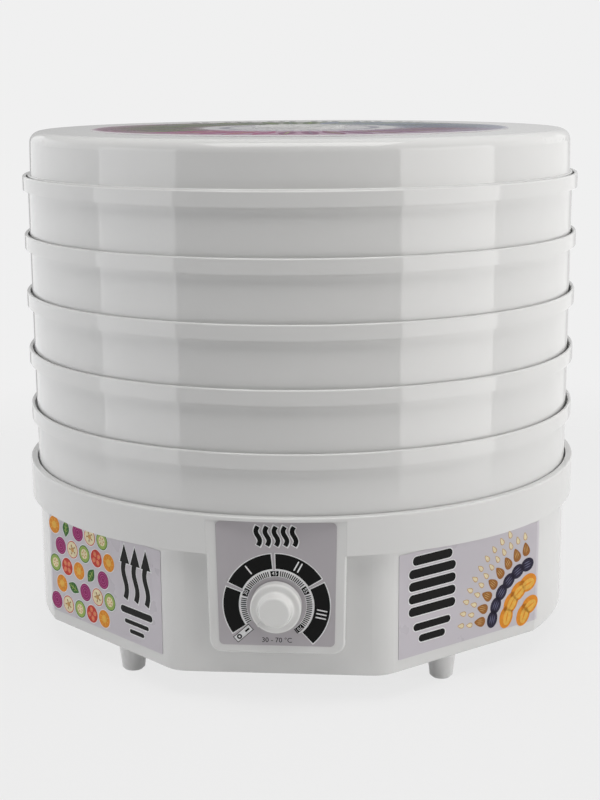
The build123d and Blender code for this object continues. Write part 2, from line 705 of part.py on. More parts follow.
foot_outline = [
    (0, 0),
    (FOOT_SOLE_RADIUS - FOOT_SOLE_ROUNDING, 0),
    (FOOT_SOLE_RADIUS, FOOT_SOLE_ROUNDING),
    (FOOT_TOP_RADIUS, FOOT_HEIGHT),
    (FOOT_PEG_RADIUS, FOOT_HEIGHT),
    (FOOT_PEG_RADIUS, PLATE_TOP),
    (FOOT_HEAD_RADIUS, PLATE_TOP),
    (FOOT_PEG_RADIUS, PLATE_TOP + FOOT_HEAD_HEIGHT),
    (0, PLATE_TOP + FOOT_HEAD_HEIGHT),
]
for name, (foot_x, foot_y) in foot_places.items():
    save(turned(foot_outline, [upright(foot_x, foot_y, 0)]), name)

case_grip = PLATE_THICKNESS + SCREW_GRIP
case_screws = turned(screw_outline(case_grip), [hanging(x, y, FOOT_HEIGHT) for x, y in case_posts])
save(case_screws, "case_screws")

# Air guard over the fan, bolted through the deck with the heater clips
guard_cells = net_cells(GUARD_HUB_RADIUS, DECK_OPENING_RADIUS, GUARD_SPOKES, GUARD_RIB)
with BuildPart() as air_guard:
    with BuildSketch(Plane.XY.offset(DECK_TOP)):
        Circle(GUARD_RADIUS)
        with Locations(*clamp_points):
            Circle(SCREW_RADIUS + HOLE_CLEARANCE, mode=Mode.SUBTRACT)
    extrude(amount=GUARD_THICKNESS)
    with BuildSketch(Plane.XY.offset(DECK_TOP)):
        for cell, count in guard_cells:
            with PolarLocations(0, count):
                add(cell)
    extrude(amount=GUARD_THICKNESS, mode=Mode.SUBTRACT)
save(air_guard.part, "air_guard")

clamp_stack = GUARD_THICKNESS + DECK_THICKNESS + CLIP_THICKNESS + HEX_NUT_THICKNESS
guard_seats = [upright(x, y, DECK_TOP + GUARD_THICKNESS) for x, y in clamp_points]
save(turned(screw_outline(clamp_stack), guard_seats), "guard_screws")

with BuildPart() as guard_nuts:
    with BuildSketch(Plane.XY.offset(DECK_UNDERSIDE - CLIP_THICKNESS)):
        with Locations(*clamp_points):
            RegularPolygon(HEX_NUT_RADIUS, HEX_SIDES)
            Circle(SCREW_RADIUS, mode=Mode.SUBTRACT)
    extrude(amount=-HEX_NUT_THICKNESS)
save(guard_nuts.part, "guard_nuts")

# Sheathed ring heater whose two ends turn out towards the front
end_x = HEATER_END_GAP / 2
bend_centre_x = end_x + HEATER_BEND_RADIUS
bend_centre_y = sqrt((HEATER_RADIUS + HEATER_BEND_RADIUS) ** 2 - bend_centre_x**2)
ring_start = degrees(acos(-bend_centre_x / (HEATER_RADIUS + HEATER_BEND_RADIUS)))
bend_turn = 180 - ring_start
heater_end = bend_centre_y + HEATER_END_LENGTH
heater_plane = Plane(origin=(0, 0, HEATER_Z), x_dir=(-1, 0, 0), z_dir=(0, 0, 1))

with BuildPart() as heater_element:
    with BuildLine(heater_plane) as heater_path:
        Line((-end_x, heater_end), (-end_x, bend_centre_y))
        JernArc((-end_x, bend_centre_y), (0, -1), HEATER_BEND_RADIUS, -bend_turn)
        CenterArc((0, 0), HEATER_RADIUS, ring_start, 360 - 2 * (ring_start - 90))
        JernArc((end_x, bend_centre_y), (0, -1), HEATER_BEND_RADIUS, bend_turn)
        Line((end_x, bend_centre_y), (end_x, heater_end))
    with BuildSketch(Plane.XZ.offset(heater_end)):
        with Locations((end_x, HEATER_Z)):
            Circle(HEATER_TUBE_RADIUS)
    sweep(path=heater_path.line)
save(heater_element.part, "heater_element")

for side, name in ((-1, "left"), (1, "right")):
    with BuildPart() as insulator:
        with BuildSketch(Plane.XZ.offset(heater_end)):
            with Locations((side * end_x, HEATER_Z)):
                Circle(INSULATOR_RADIUS)
        extrude(amount=INSULATOR_LENGTH)
    save(insulator.part, f"heater_insulator_{name}")
    with BuildPart() as heater_tab:
        with BuildSketch(Plane.XZ.offset(heater_end + INSULATOR_LENGTH)):
            with Locations((side * end_x, HEATER_Z)):
                Rectangle(TAB_THICKNESS, TAB_WIDTH)
        extrude(amount=TAB_LENGTH)
    save(heater_tab.part, f"heater_tab_{name}")

clip_leg = HEATER_RADIUS + HEATER_TUBE_RADIUS + CLIP_SIDE_GAP
clip_seat = HEATER_Z - HEATER_TUBE_RADIUS - CLIP_SEAT_GAP
clip_end = CLAMP_CIRCLE + CLIP_WIDTH / 2
clip_tip = HEATER_RADIUS - HEATER_TUBE_RADIUS
clip_outline = [
    (clip_leg, DECK_UNDERSIDE),
    (clip_end, DECK_UNDERSIDE),
    (clip_end, DECK_UNDERSIDE - CLIP_THICKNESS),
    (clip_leg + CLIP_THICKNESS, DECK_UNDERSIDE - CLIP_THICKNESS),
    (clip_leg + CLIP_THICKNESS, clip_seat - CLIP_THICKNESS),
    (clip_tip, clip_seat - CLIP_THICKNESS),
    (clip_tip, clip_seat),
    (clip_leg, clip_seat),
]
with BuildPart() as heater_clips:
    for angle in CLAMP_ANGLES:
        out_x, out_y = around(1, angle)
        with BuildSketch(Plane(origin=(0, 0, 0), x_dir=(out_x, out_y, 0), z_dir=(out_y, -out_x, 0))):
            with BuildLine():
                Polyline(*clip_outline, close=True)
            make_face()
        extrude(amount=CLIP_WIDTH / 2, both=True)
    with BuildSketch(Plane.XY.offset(DECK_UNDERSIDE)):
        with Locations(*clamp_points):
            Circle(SCREW_RADIUS + HOLE_CLEARANCE)
    extrude(amount=-CLIP_THICKNESS, mode=Mode.SUBTRACT)
save(heater_clips.part, "heater_clips")

# Thermal cut-out riveted under the deck
cutout_tab_z = DECK_UNDERSIDE - CUTOUT_FLANGE - CUTOUT_HEIGHT / 2
cutout_tab_reach = CUTOUT_RADIUS + TAB_LENGTH
with BuildPart() as thermal_cutout:
    with BuildSketch(Plane.XY.offset(DECK_UNDERSIDE)):
        with Locations((CUTOUT_X, CUTOUT_Y)):
            SlotCenterToCenter(CUTOUT_RIVET_SPACING, CUTOUT_FLANGE_WIDTH)
        with Locations(*rivet_points):
            Circle(RIVET_RADIUS + THREAD_CLEARANCE, mode=Mode.SUBTRACT)
    extrude(amount=-CUTOUT_FLANGE)
    with BuildSketch(Plane.XY.offset(DECK_UNDERSIDE - CUTOUT_FLANGE)):
        with Locations((CUTOUT_X, CUTOUT_Y)):
            Circle(CUTOUT_RADIUS)
    extrude(amount=-CUTOUT_HEIGHT)
    with BuildSketch(Plane.XY.offset(cutout_tab_z)):
        with Locations((CUTOUT_X, CUTOUT_Y)):
            Rectangle(2 * cutout_tab_reach, TAB_WIDTH)
    extrude(amount=TAB_THICKNESS / 2, both=True)
save(thermal_cutout.part, "thermal_cutout")

rivet_low = -CUTOUT_FLANGE
rivet_outline = [
    (0, rivet_low - RIVET_HEAD_HEIGHT),
    (RIVET_HEAD_RADIUS, rivet_low - RIVET_HEAD_HEIGHT),
    (RIVET_HEAD_RADIUS, rivet_low),
    (RIVET_RADIUS, rivet_low),
    (RIVET_RADIUS, DECK_THICKNESS),
    (RIVET_HEAD_RADIUS, DECK_THICKNESS),
    (RIVET_HEAD_RADIUS, DECK_THICKNESS + RIVET_HEAD_HEIGHT),
    (0, DECK_THICKNESS + RIVET_HEAD_HEIGHT),
]
rivet_planes = [upright(x, y, DECK_UNDERSIDE) for x, y in rivet_points]
save(turned(rivet_outline, rivet_planes), "cutout_rivets")

# Motor: a can hung under the bracket, closed by a cap, with stator, winding, rotor, shaft and bushes
can_bore = MOTOR_RADIUS - MOTOR_WALL
can_ceiling = MOTOR_HEIGHT - MOTOR_ROOF
motor_plane = upright(0, 0, MOTOR_BOTTOM)
lug_z = MOTOR_BOTTOM + MOTOR_HEIGHT / 2
lug_face = MOTOR_RADIUS + MOTOR_LUG_REACH
motor_screw_points = [(-MOTOR_SCREW_CIRCLE, 0), (MOTOR_SCREW_CIRCLE, 0)]

with BuildPart() as motor_can:
    with BuildSketch(Plane.XY.offset(MOTOR_BOTTOM)):
        Circle(MOTOR_RADIUS)
    extrude(amount=MOTOR_HEIGHT)
    with BuildSketch(Plane.XZ.offset(-lug_face)):
        with Locations((0, lug_z)):
            Rectangle(MOTOR_LUG_WIDTH, MOTOR_LUG_HEIGHT)
    extrude(amount=lug_face)
    with BuildSketch(Plane.XY.offset(MOTOR_BOTTOM)):
        Circle(can_bore)
    extrude(amount=can_ceiling, mode=Mode.SUBTRACT)
    with BuildSketch(Plane.XY.offset(BRACKET_Z)):
        Circle(BUSH_RADIUS)
        with Locations(*motor_screw_points):
            Circle(SCREW_RADIUS)
    extrude(amount=-MOTOR_ROOF, mode=Mode.SUBTRACT)
save(motor_can.part, "motor_can")

cap_radius = can_bore - THREAD_CLEARANCE
bush_top = MOTOR_CAP_THICKNESS + BUSH_LENGTH
cap_outline = [
    (0, 0),
    (cap_radius, 0),
    (cap_radius, MOTOR_CAP_THICKNESS),
    (BUSH_RADIUS + MOTOR_WALL, MOTOR_CAP_THICKNESS),
    (BUSH_RADIUS + MOTOR_WALL, bush_top),
    (BUSH_RADIUS, bush_top),
    (BUSH_RADIUS, MOTOR_CAP_THICKNESS),
    (0, MOTOR_CAP_THICKNESS),
]
save(turned(cap_outline, [motor_plane]), "motor_cap")

bush_bore = MOTOR_SHAFT_RADIUS + RUNNING_CLEARANCE
for name, low, high in (
    ("motor_bush_lower", MOTOR_CAP_THICKNESS, bush_top),
    ("motor_bush_upper", can_ceiling, MOTOR_HEIGHT),
):
    bush_outline = [(bush_bore, low), (BUSH_RADIUS, low), (BUSH_RADIUS, high), (bush_bore, high)]
    save(turned(bush_outline, [motor_plane]), name)

winding_middle = (bush_top + can_ceiling) / 2
stator_low = winding_middle - STATOR_LENGTH / 2
stator_high = winding_middle + STATOR_LENGTH / 2
stator_bore = ROTOR_RADIUS + ROTOR_AIR_GAP
stator_outline = [
    (stator_bore, stator_low),
    (cap_radius, stator_low),
    (cap_radius, stator_high),
    (stator_bore, stator_high),
]
save(turned(stator_outline, [motor_plane]), "motor_stator")

with BuildPart() as motor_winding:
    for winding_z in (stator_low - WINDING_HEIGHT, stator_high):
        with BuildSketch(Plane.XY.offset(MOTOR_BOTTOM + winding_z)):
            Circle(WINDING_OUTER_RADIUS)
            Circle(WINDING_INNER_RADIUS, mode=Mode.SUBTRACT)
        extrude(amount=WINDING_HEIGHT)
save(motor_winding.part, "motor_winding")

rotor_low = winding_middle - ROTOR_LENGTH / 2
rotor_high = winding_middle + ROTOR_LENGTH / 2
rotor_outline = [
    (MOTOR_SHAFT_RADIUS, rotor_low),
    (ROTOR_RADIUS, rotor_low),
    (ROTOR_RADIUS, rotor_high),
    (MOTOR_SHAFT_RADIUS, rotor_high),
]
save(turned(rotor_outline, [motor_plane]), "motor_rotor")

fan_low = BRACKET_TOP + FAN_RISE
fan_high = fan_low + FAN_HUB_HEIGHT
shaft_low = MOTOR_CAP_THICKNESS + THRUST_GAP
shaft_high = fan_high + RETAINER_THICKNESS - MOTOR_BOTTOM
motor_shaft = [
    (0, shaft_low),
    (MOTOR_SHAFT_RADIUS, shaft_low),
    (MOTOR_SHAFT_RADIUS, shaft_high),
    (0, shaft_high),
]
save(turned(motor_shaft, [motor_plane]), "motor_shaft")

# Bracket that carries the motor on the three posts of the bottom plate
with BuildPart() as motor_bracket:
    with BuildSketch(Plane.XY.offset(BRACKET_Z)):
        Circle(BRACKET_HUB_RADIUS)
        for angle in BRACKET_POST_ANGLES:
            with Locations(around(BRACKET_POST_CIRCLE / 2, angle)):
                Rectangle(BRACKET_ARM_WIDTH, BRACKET_POST_CIRCLE, rotation=angle)
        with Locations(*motor_posts):
            Circle(BRACKET_ARM_WIDTH / 2)
        with Locations(*motor_posts, *motor_screw_points):
            Circle(SCREW_RADIUS + HOLE_CLEARANCE, mode=Mode.SUBTRACT)
        Circle(BUSH_RADIUS, mode=Mode.SUBTRACT)
    extrude(amount=BRACKET_THICKNESS)
save(motor_bracket.part, "motor_bracket")

bracket_grip = BRACKET_THICKNESS + SCREW_GRIP
bracket_seats = [upright(x, y, BRACKET_TOP) for x, y in motor_posts]
save(turned(screw_outline(bracket_grip), bracket_seats), "bracket_screws")
motor_seats = [upright(x, y, BRACKET_TOP) for x, y in motor_screw_points]
save(turned(screw_outline(BRACKET_THICKNESS + MOTOR_ROOF), motor_seats), "motor_screws")

# Fan pressed on the motor shaft, with its push-on retainer
blade_root = FAN_HUB_RADIUS * cos(radians(FAN_BLADE_PITCH))
with BuildPart() as fan:
    with BuildSketch(Plane.XY.offset(fan_low)):
        Circle(FAN_HUB_RADIUS)
        Circle(MOTOR_SHAFT_RADIUS, mode=Mode.SUBTRACT)
    extrude(amount=FAN_HUB_HEIGHT)
    for blade in range(FAN_BLADES):
        turn = 360 * blade / FAN_BLADES
        out_x, out_y = around(1, turn)
        blade_plane = Plane(
            origin=(out_x * blade_root, out_y * blade_root, (fan_low + fan_high) / 2),
            x_dir=(-out_y, out_x, 0),
            z_dir=(out_x, out_y, 0),
        )
        with BuildSketch(blade_plane):
            Rectangle(FAN_BLADE_CHORD, FAN_BLADE_THICKNESS, rotation=FAN_BLADE_PITCH)
        extrude(amount=FAN_RADIUS - blade_root)
save(fan.part, "fan")

retainer_outline = [
    (MOTOR_SHAFT_RADIUS, 0),
    (RETAINER_RADIUS, 0),
    (RETAINER_RADIUS, RETAINER_THICKNESS),
    (MOTOR_SHAFT_RADIUS, RETAINER_THICKNESS),
]
save(turned(retainer_outline, [upright(0, 0, fan_high)]), "fan_retainer")

# Terminal block on the bottom plate, with its screw
block_front = BLOCK_Y - BLOCK_DEPTH / 2
block_top = PLATE_TOP + BLOCK_HEIGHT
with BuildPart() as terminal_block:
    with BuildSketch(Plane.XY.offset(PLATE_TOP)):
        with Locations((0, BLOCK_Y)):
            Rectangle(BLOCK_LENGTH, BLOCK_DEPTH)
            Circle(SCREW_RADIUS + HOLE_CLEARANCE, mode=Mode.SUBTRACT)
    extrude(amount=BLOCK_HEIGHT)
    with BuildSketch(Plane.XY.offset(block_top)):
        with Locations((-BLOCK_WELL_X, BLOCK_Y), (BLOCK_WELL_X, BLOCK_Y)):
            Circle(BLOCK_WELL_RADIUS)
    extrude(amount=-BLOCK_WELL_DEPTH, mode=Mode.SUBTRACT)
save(terminal_block.part, "terminal_block")
block_grip = BLOCK_HEIGHT + PLATE_THICKNESS
save(turned(screw_outline(block_grip), [upright(0, BLOCK_Y, block_top)]), "terminal_screw")


# Internal leads, each from one terminal to another
def lead(points, name):
    """Insulated wire along straight runs with rounded bends."""
    with BuildPart() as wire:
        with BuildLine() as route:
            FilletPolyline(*points, radius=WIRE_BEND)
        with BuildSketch(Plane(origin=route.line @ 0, z_dir=route.line % 0)):
            Circle(WIRE_RADIUS)
        sweep(path=route.line)
    save(wire.part, name)


lead_floor = PLATE_TOP + WIRE_RADIUS + THRUST_GAP
lead_z = PLATE_TOP + LEAD_HEIGHT
block_end = BLOCK_LENGTH / 2
thermostat_tab = -(thermostat_back - TAB_LENGTH)
heater_tab_tip = -(heater_end + INSULATOR_LENGTH + TAB_LENGTH)
lead(
    [
        (block_end, BLOCK_Y, lead_z),
        (block_end + 16, BLOCK_Y, lead_z),
        (block_end + 34, BLOCK_Y - 2, lead_floor),
        (112, 98, lead_floor),
        (150, 0, lead_floor),
        (122, -96, lead_floor),
        (50, -126, 46),
        (tab_xs[0], thermostat_tab + 22, KNOB_Z),
        (tab_xs[0], thermostat_tab, KNOB_Z),
    ],
    "wire_supply",
)
lead(
    [
        (tab_xs[1], thermostat_tab, KNOB_Z),
        (tab_xs[1], thermostat_tab + 15, KNOB_Z),
        (CUTOUT_X + 36, CUTOUT_Y - 30, KNOB_Z + 19),
        (CUTOUT_X + 36, CUTOUT_Y, cutout_tab_z),
        (CUTOUT_X + cutout_tab_reach, CUTOUT_Y, cutout_tab_z),
    ],
    "wire_switched",
)
lead(
    [
        (end_x, heater_tab_tip, HEATER_Z),
        (end_x, heater_tab_tip - 16, HEATER_Z),
        (CUTOUT_X - 32, heater_tab_tip - 16, HEATER_Z),
        (CUTOUT_X - 32, CUTOUT_Y, cutout_tab_z),
        (CUTOUT_X - cutout_tab_reach, CUTOUT_Y, cutout_tab_z),
    ],
    "wire_heater_live",
)
lead(
    [
        (-end_x, heater_tab_tip, HEATER_Z),
        (-end_x, heater_tab_tip - 16, HEATER_Z),
        (-70, -138, 62),
        (-122, -96, lead_floor),
        (-150, 0, lead_floor),
        (-112, 98, lead_floor),
        (-block_end - 34, BLOCK_Y - 2, lead_floor),
        (-block_end - 16, BLOCK_Y, lead_z),
        (-block_end, BLOCK_Y, lead_z),
    ],
    "wire_heater_neutral",
)
for side, name in ((-1, "wire_motor_neutral"), (1, "wire_motor_live")):
    lead(
        [
            (side * MOTOR_LUG_WIDTH / 4, lug_face, lug_z),
            (side * MOTOR_LUG_WIDTH / 4, lug_face + 16, lug_z),
            (side * BLOCK_LENGTH / 4, block_front - 20, lead_z),
            (side * BLOCK_LENGTH / 4, block_front, lead_z),
        ],
        name,
    )

# Inlet gland for the supply cord, pushed into the rear wall
gland_plane = Plane(origin=(0, GLAND_FACE, GLAND_Z), x_dir=(1, 0, 0), z_dir=(0, 0, 1))
gland_inside = -(GLAND_PAD_RISE + BASE_WALL + GLAND_TAIL)
gland_outline = [
    (GLAND_BORE_RADIUS, gland_inside),
    (GLAND_RADIUS, gland_inside),
    (GLAND_RADIUS, 0),
    (GLAND_FLANGE_RADIUS, 0),
    (GLAND_FLANGE_RADIUS, GLAND_FLANGE_THICKNESS),
    (GLAND_BORE_RADIUS, GLAND_FLANGE_THICKNESS),
]
save(turned(gland_outline, [gland_plane]), "cord_gland")
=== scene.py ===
import json
from math import atan2, cos, hypot, pi, radians, sin, tau

import bmesh
import bpy
from mathutils import Matrix, Vector


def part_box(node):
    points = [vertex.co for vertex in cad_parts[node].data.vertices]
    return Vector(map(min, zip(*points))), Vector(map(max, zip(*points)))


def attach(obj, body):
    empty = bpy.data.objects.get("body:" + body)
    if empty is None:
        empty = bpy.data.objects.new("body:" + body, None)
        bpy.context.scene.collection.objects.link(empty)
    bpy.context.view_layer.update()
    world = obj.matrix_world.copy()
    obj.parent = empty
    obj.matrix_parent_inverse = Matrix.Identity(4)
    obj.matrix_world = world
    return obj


# Round stacking food dehydrator: finishes, printed plates, fine net ribs, studio and camera.
# Metres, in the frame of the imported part: +Z is up and the control boss faces -Y.
# Printed shapes are drawn in millimetres, in the plane of the plate that carries them.

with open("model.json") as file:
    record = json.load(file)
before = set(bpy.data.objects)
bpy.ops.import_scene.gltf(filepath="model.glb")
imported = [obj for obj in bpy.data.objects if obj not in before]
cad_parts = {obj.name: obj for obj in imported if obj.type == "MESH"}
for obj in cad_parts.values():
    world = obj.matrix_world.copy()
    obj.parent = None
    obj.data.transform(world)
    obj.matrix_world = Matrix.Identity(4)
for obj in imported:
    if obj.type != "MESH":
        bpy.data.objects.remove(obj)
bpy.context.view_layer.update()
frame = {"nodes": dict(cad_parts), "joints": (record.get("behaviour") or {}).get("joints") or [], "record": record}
nodes = frame["nodes"]
slot_of = {subpart["node"]: subpart["material_slot"] for subpart in frame["record"]["subparts"]}
MM = 0.001

# Camera, fitted to the rims, the lid's outline and the foot of the base in the photograph
LENS = 69.53
SENSOR = 36.0
CAMERA_AZIMUTH = radians(4.85)
CAMERA_DISTANCE = 1.0824
CAMERA_HEIGHT = 0.3846
CAMERA_PITCH = radians(12.019)
CAMERA_YAW = radians(0.049)
CAMERA_ROLL = radians(-0.360)

# Backdrop, and the light of the surroundings, which changes along a direction's y and x
BACKDROP = (0.871, 0.871, 0.871, 1.0)
STUDIO_FRONT = (0.02, 0.02, 0.02, 1.0)
STUDIO_REAR_LEFT = (0.47, 0.47, 0.47, 1.0)
STUDIO_REAR_RIGHT = (0.68, 0.68, 0.68, 1.0)
STUDIO_DEPTH = (-0.9, 0.6)
STUDIO_TURN = (-0.3, 0.3)

# Floor
FLOOR_COLOUR = (0.8, 0.8, 0.8, 1.0)
FLOOR_ROUGHNESS = 0.7
FLOOR_RADIUS = 0.95
FLOOR_SIDES = 96
FLOOR_FADE = (0.50, 0.94)
FLOOR_SHADING = 0.14

# Softboxes, at an azimuth and a distance from the stack's axis
COOL_LIGHT = (0.985, 0.99, 1.0)
WARM_LIGHT = (1.0, 0.99, 0.975)
SIDE_LAMP_HEIGHT = 0.15
LEFT_AZIMUTH = radians(-61.6)
LEFT_DISTANCE = 1.59
LEFT_SIZE = (1.05, 1.5)
LEFT_POWER = 8.6
RIGHT_AZIMUTH = radians(64.9)
RIGHT_DISTANCE = 1.66
RIGHT_SIZE = (1.305, 1.5)
RIGHT_POWER = 15.0
WING_SIZE = (2.2, 1.5)
LEFT_WING_AZIMUTH = radians(-114.0)
LEFT_WING_POWER = 6.0
RIGHT_WING_AZIMUTH = radians(120.0)
RIGHT_WING_POWER = 3.5
TOP_AZIMUTH = radians(5.0)
TOP_DISTANCE = 0.5
TOP_HEIGHT = 1.5
TOP_AIM = 0.2
TOP_SIZE = (1.3, 0.8)
TOP_POWER = 11.0

# Plastics, metals, ceramic and leads
PLASTIC_IOR = 1.49
FILLED_IOR = 1.5
WHITE_PLASTIC = (0.755, 0.755, 0.75)
KNOB_PLASTIC = (0.80, 0.80, 0.79)
INNER_PLASTIC = (0.74, 0.74, 0.73)
FOOT_PLASTIC = (0.76, 0.76, 0.76)
BLACK_PLASTIC = (0.03, 0.03, 0.032)
PLATED_STEEL = (0.62, 0.62, 0.64)
CORE_STEEL = (0.36, 0.36, 0.38)
HEATER_STEEL = (0.36, 0.35, 0.34)
HEATER_STRAW = (0.46, 0.38, 0.26)
HEATER_BLUE = (0.30, 0.30, 0.38)
CERAMIC = (0.78, 0.76, 0.70)
COPPER = (0.62, 0.27, 0.12)
BRONZE = (0.58, 0.40, 0.18)
LEAD_RED = (0.50, 0.03, 0.03)
LEAD_BLUE = (0.03, 0.09, 0.38)

# Printed films
FILM_IOR = 1.5
DIAL_GROUND = (0.46, 0.435, 0.46)
SIDE_GROUND = (0.58, 0.55, 0.595)
LID_GROUND = (0.66, 0.64, 0.65)
LID_MIDDLE = (0.50, 0.49, 0.51)

# Inks: height of a layer, and the angle between two points of an arc
INK_STEP = 0.04
ARC_STEP = radians(4.0)
INK_GLOSS = 0.12
INK_ROUGHNESS = 0.32
BLACK_ROUGHNESS = 0.28
PLUM = (0.19, 0.05, 0.13)
MOSS = (0.08, 0.12, 0.05)
STEEL_BLUE = (0.22, 0.25, 0.33)
INK_COLOURS = {
    "black": (0.006, 0.006, 0.006),
    "pale": (0.86, 0.86, 0.87),
    "orange": (0.83, 0.30, 0.03),
    "amber": (0.88, 0.50, 0.09),
    "cream": (0.86, 0.76, 0.50),
    "tomato": (0.62, 0.06, 0.04),
    "coral": (0.80, 0.24, 0.14),
    "beet": (0.30, 0.02, 0.13),
    "orchid": (0.52, 0.10, 0.30),
    "leaf": (0.05, 0.16, 0.04),
    "sprout": (0.36, 0.50, 0.12),
    "prune": (0.03, 0.025, 0.05),
    "slate": (0.13, 0.13, 0.22),
    "nut": (0.36, 0.15, 0.04),
    "tan": (0.62, 0.36, 0.13),
    "plum": PLUM,
    "moss": MOSS,
    "steel_blue": STEEL_BLUE,
}

# Heat ranges of the dial plate, in degrees about the knob's axis; the first one has no marks
ARC_INNER = 23.2
ARC_OUTER = 32.7
ARC_BORDER = 0.65
ARC_SPANS = ((214.0, 160.0), (154.2, 95.9), (90.9, 32.2), (26.9, -47.3))
MARK_ANGLES = (None, 127.5, 61.5, -11.0)
MARK_LENGTH = 6.6
MARK_WIDTH = 0.85
MARK_PITCH = 2.45

# Ticks and figures inside the heat ranges
TICK_INNER = 18.5
TICK_OUTER = 21.9
TICK_WIDTH = 0.66
TICK_STEP = 3.6
TICK_MARGIN = 0.3
FIGURES = (("30", 157.5), ("45", 93.0), ("55", 28.5), ("70", -45.5))
FIGURE_HALF = 7.0
FIGURE_GAP = TICK_STEP / 3
FIGURE_SIZE = 3.4
FIGURE_STEPS = 4

# Boxed off mark
OFF_ANGLE = radians(221.9)
OFF_RADIUS = 27.7
OFF_LENGTH = 13.0
OFF_WIDTH = 4.8
OFF_BORDER = 0.4
OFF_RING = (0.7, 1.6)

# Heat waves above the knob, and the range below it
HEAT_RISE = 43.8
HEAT_WAVES = 5
HEAT_PITCH = 5.5
HEAT_HEIGHT = 12.0
HEAT_WIDTH = 2.8
HEAT_SWING = 1.2
UNIT_DROP = 22.6
UNIT_SIZE = 4.4

# Side plates, drawn about the middle of each
SIDE_ANGLE = radians(41.7)
LINE_BORDER = 0.7

# Rows of slices and leaves on the left plate
MOTIF_RADIUS = 6.0
MOTIF_BORDER = 0.5
MOTIF_SKIN = 0.6
GRID_START = (-53.5, 27.0)
GRID_PITCH = (13.4, 13.3)
GRID_COLUMNS = 5
GRID_ROWS = 5
GRID_SHIFT = 6.7
FIRST_TURN = 35.0
COLUMN_TURN = 50.0
ROW_TURN = 25.0

# Wavy arrows on the left plate, and the height, length and width of the bars below them
ARROWS = 3
ARROW_MIDDLE = 35.0
ARROW_PITCH = 11.0
ARROW_FOOT = -6.0
ARROW_NECK = 20.0
ARROW_TIP = 30.5
ARROW_STEM = 4.4
ARROW_SWING = 1.7
ARROW_HEAD = 9.8
ARROW_BARB = 2.0
BARB_GROWTH = 1.7
TIP_GROWTH = 2.2
LEFT_BARS = ((-13.5, 33.0, 4.6), (-21.0, 25.0, 2.8), (-27.0, 15.0, 2.8))

# Stack of bars on the right plate, and the height, length and width of the bars below it
STACK_MIDDLE = (-33.5, 11.5)
STACK_WIDTH = 39.0
STACK_BAR = 5.9
STACK_PITCH = 8.2
STACK_LEVELS = 5
STACK_TAPER = 6.0
RIGHT_BARS = ((-15.5, 31.0, 4.8), (-23.5, 22.0, 4.8))

# Fan of fruit in the corner of the right plate
FAN_CORNER = (58.0, -33.0)
FAN_END = 175.0
CREASE_TAPER = 1.6

# Coloured oval on the lid, with its fades as shares of the oval
LID_ART_HALF_X = 142.0
LID_ART_HALF_Y = 125.0
LID_MIDDLE_FADE = (0.46, 0.52)
LID_EDGE_FADE = (0.98, 1.02)

# Petals that fill the oval, short strokes inside them and dashes along its rear edge
PETALS = 40
PETAL_START = 66.0
PETAL_WIDTH = 11.0
PETAL_MARGIN = 3.0
PETAL_COLOURS = ("slate", "steel_blue", "moss", "moss", "moss", "beet", "plum", "plum")
VEIN_SHARE = 0.8
VEIN_WIDTH = 0.9
HALO_STROKES = 60
HALO_MIDDLE = 52.0
HALO_LENGTH = 7.0
HALO_WIDTH = 1.2
DASHES = 23
DASH_GROUP = 4
DASH_START = 50.0
DASH_END = 130.0
DASH_OFFSET = 7.0
DASH_LENGTH = 7.0
DASH_WIDTH = 5.0

# Fine rings of the nets
RIB_PITCH = 6.0 * MM
RIB_WIDTH = 1.3 * MM
RIB_INSET = 0.5 * MM
RIB_START = 40.0 * MM
RIB_SIDES = 96

RIGHT = Vector((1.0, 0.0, 0.0))
BACK = Vector((0.0, 1.0, 0.0))
UP = Vector((0.0, 0.0, 1.0))


# Node materials


def shade(colour, share):
    """A colour made darker or lighter by a share."""
    return tuple(min(1.0, channel * share) for channel in colour)


def mix_colours(tree, share, first, second):
    """One colour, written or linked, turning into another."""
    mix = tree.nodes.new("ShaderNodeMix")
    mix.data_type = "RGBA"
    tree.links.new(share, mix.inputs["Factor"])
    for socket, colour in (("A", first), ("B", second)):
        if isinstance(colour, tuple):
            mix.inputs[socket].default_value = colour
        else:
            tree.links.new(colour, mix.inputs[socket])
    return mix.outputs["Result"]


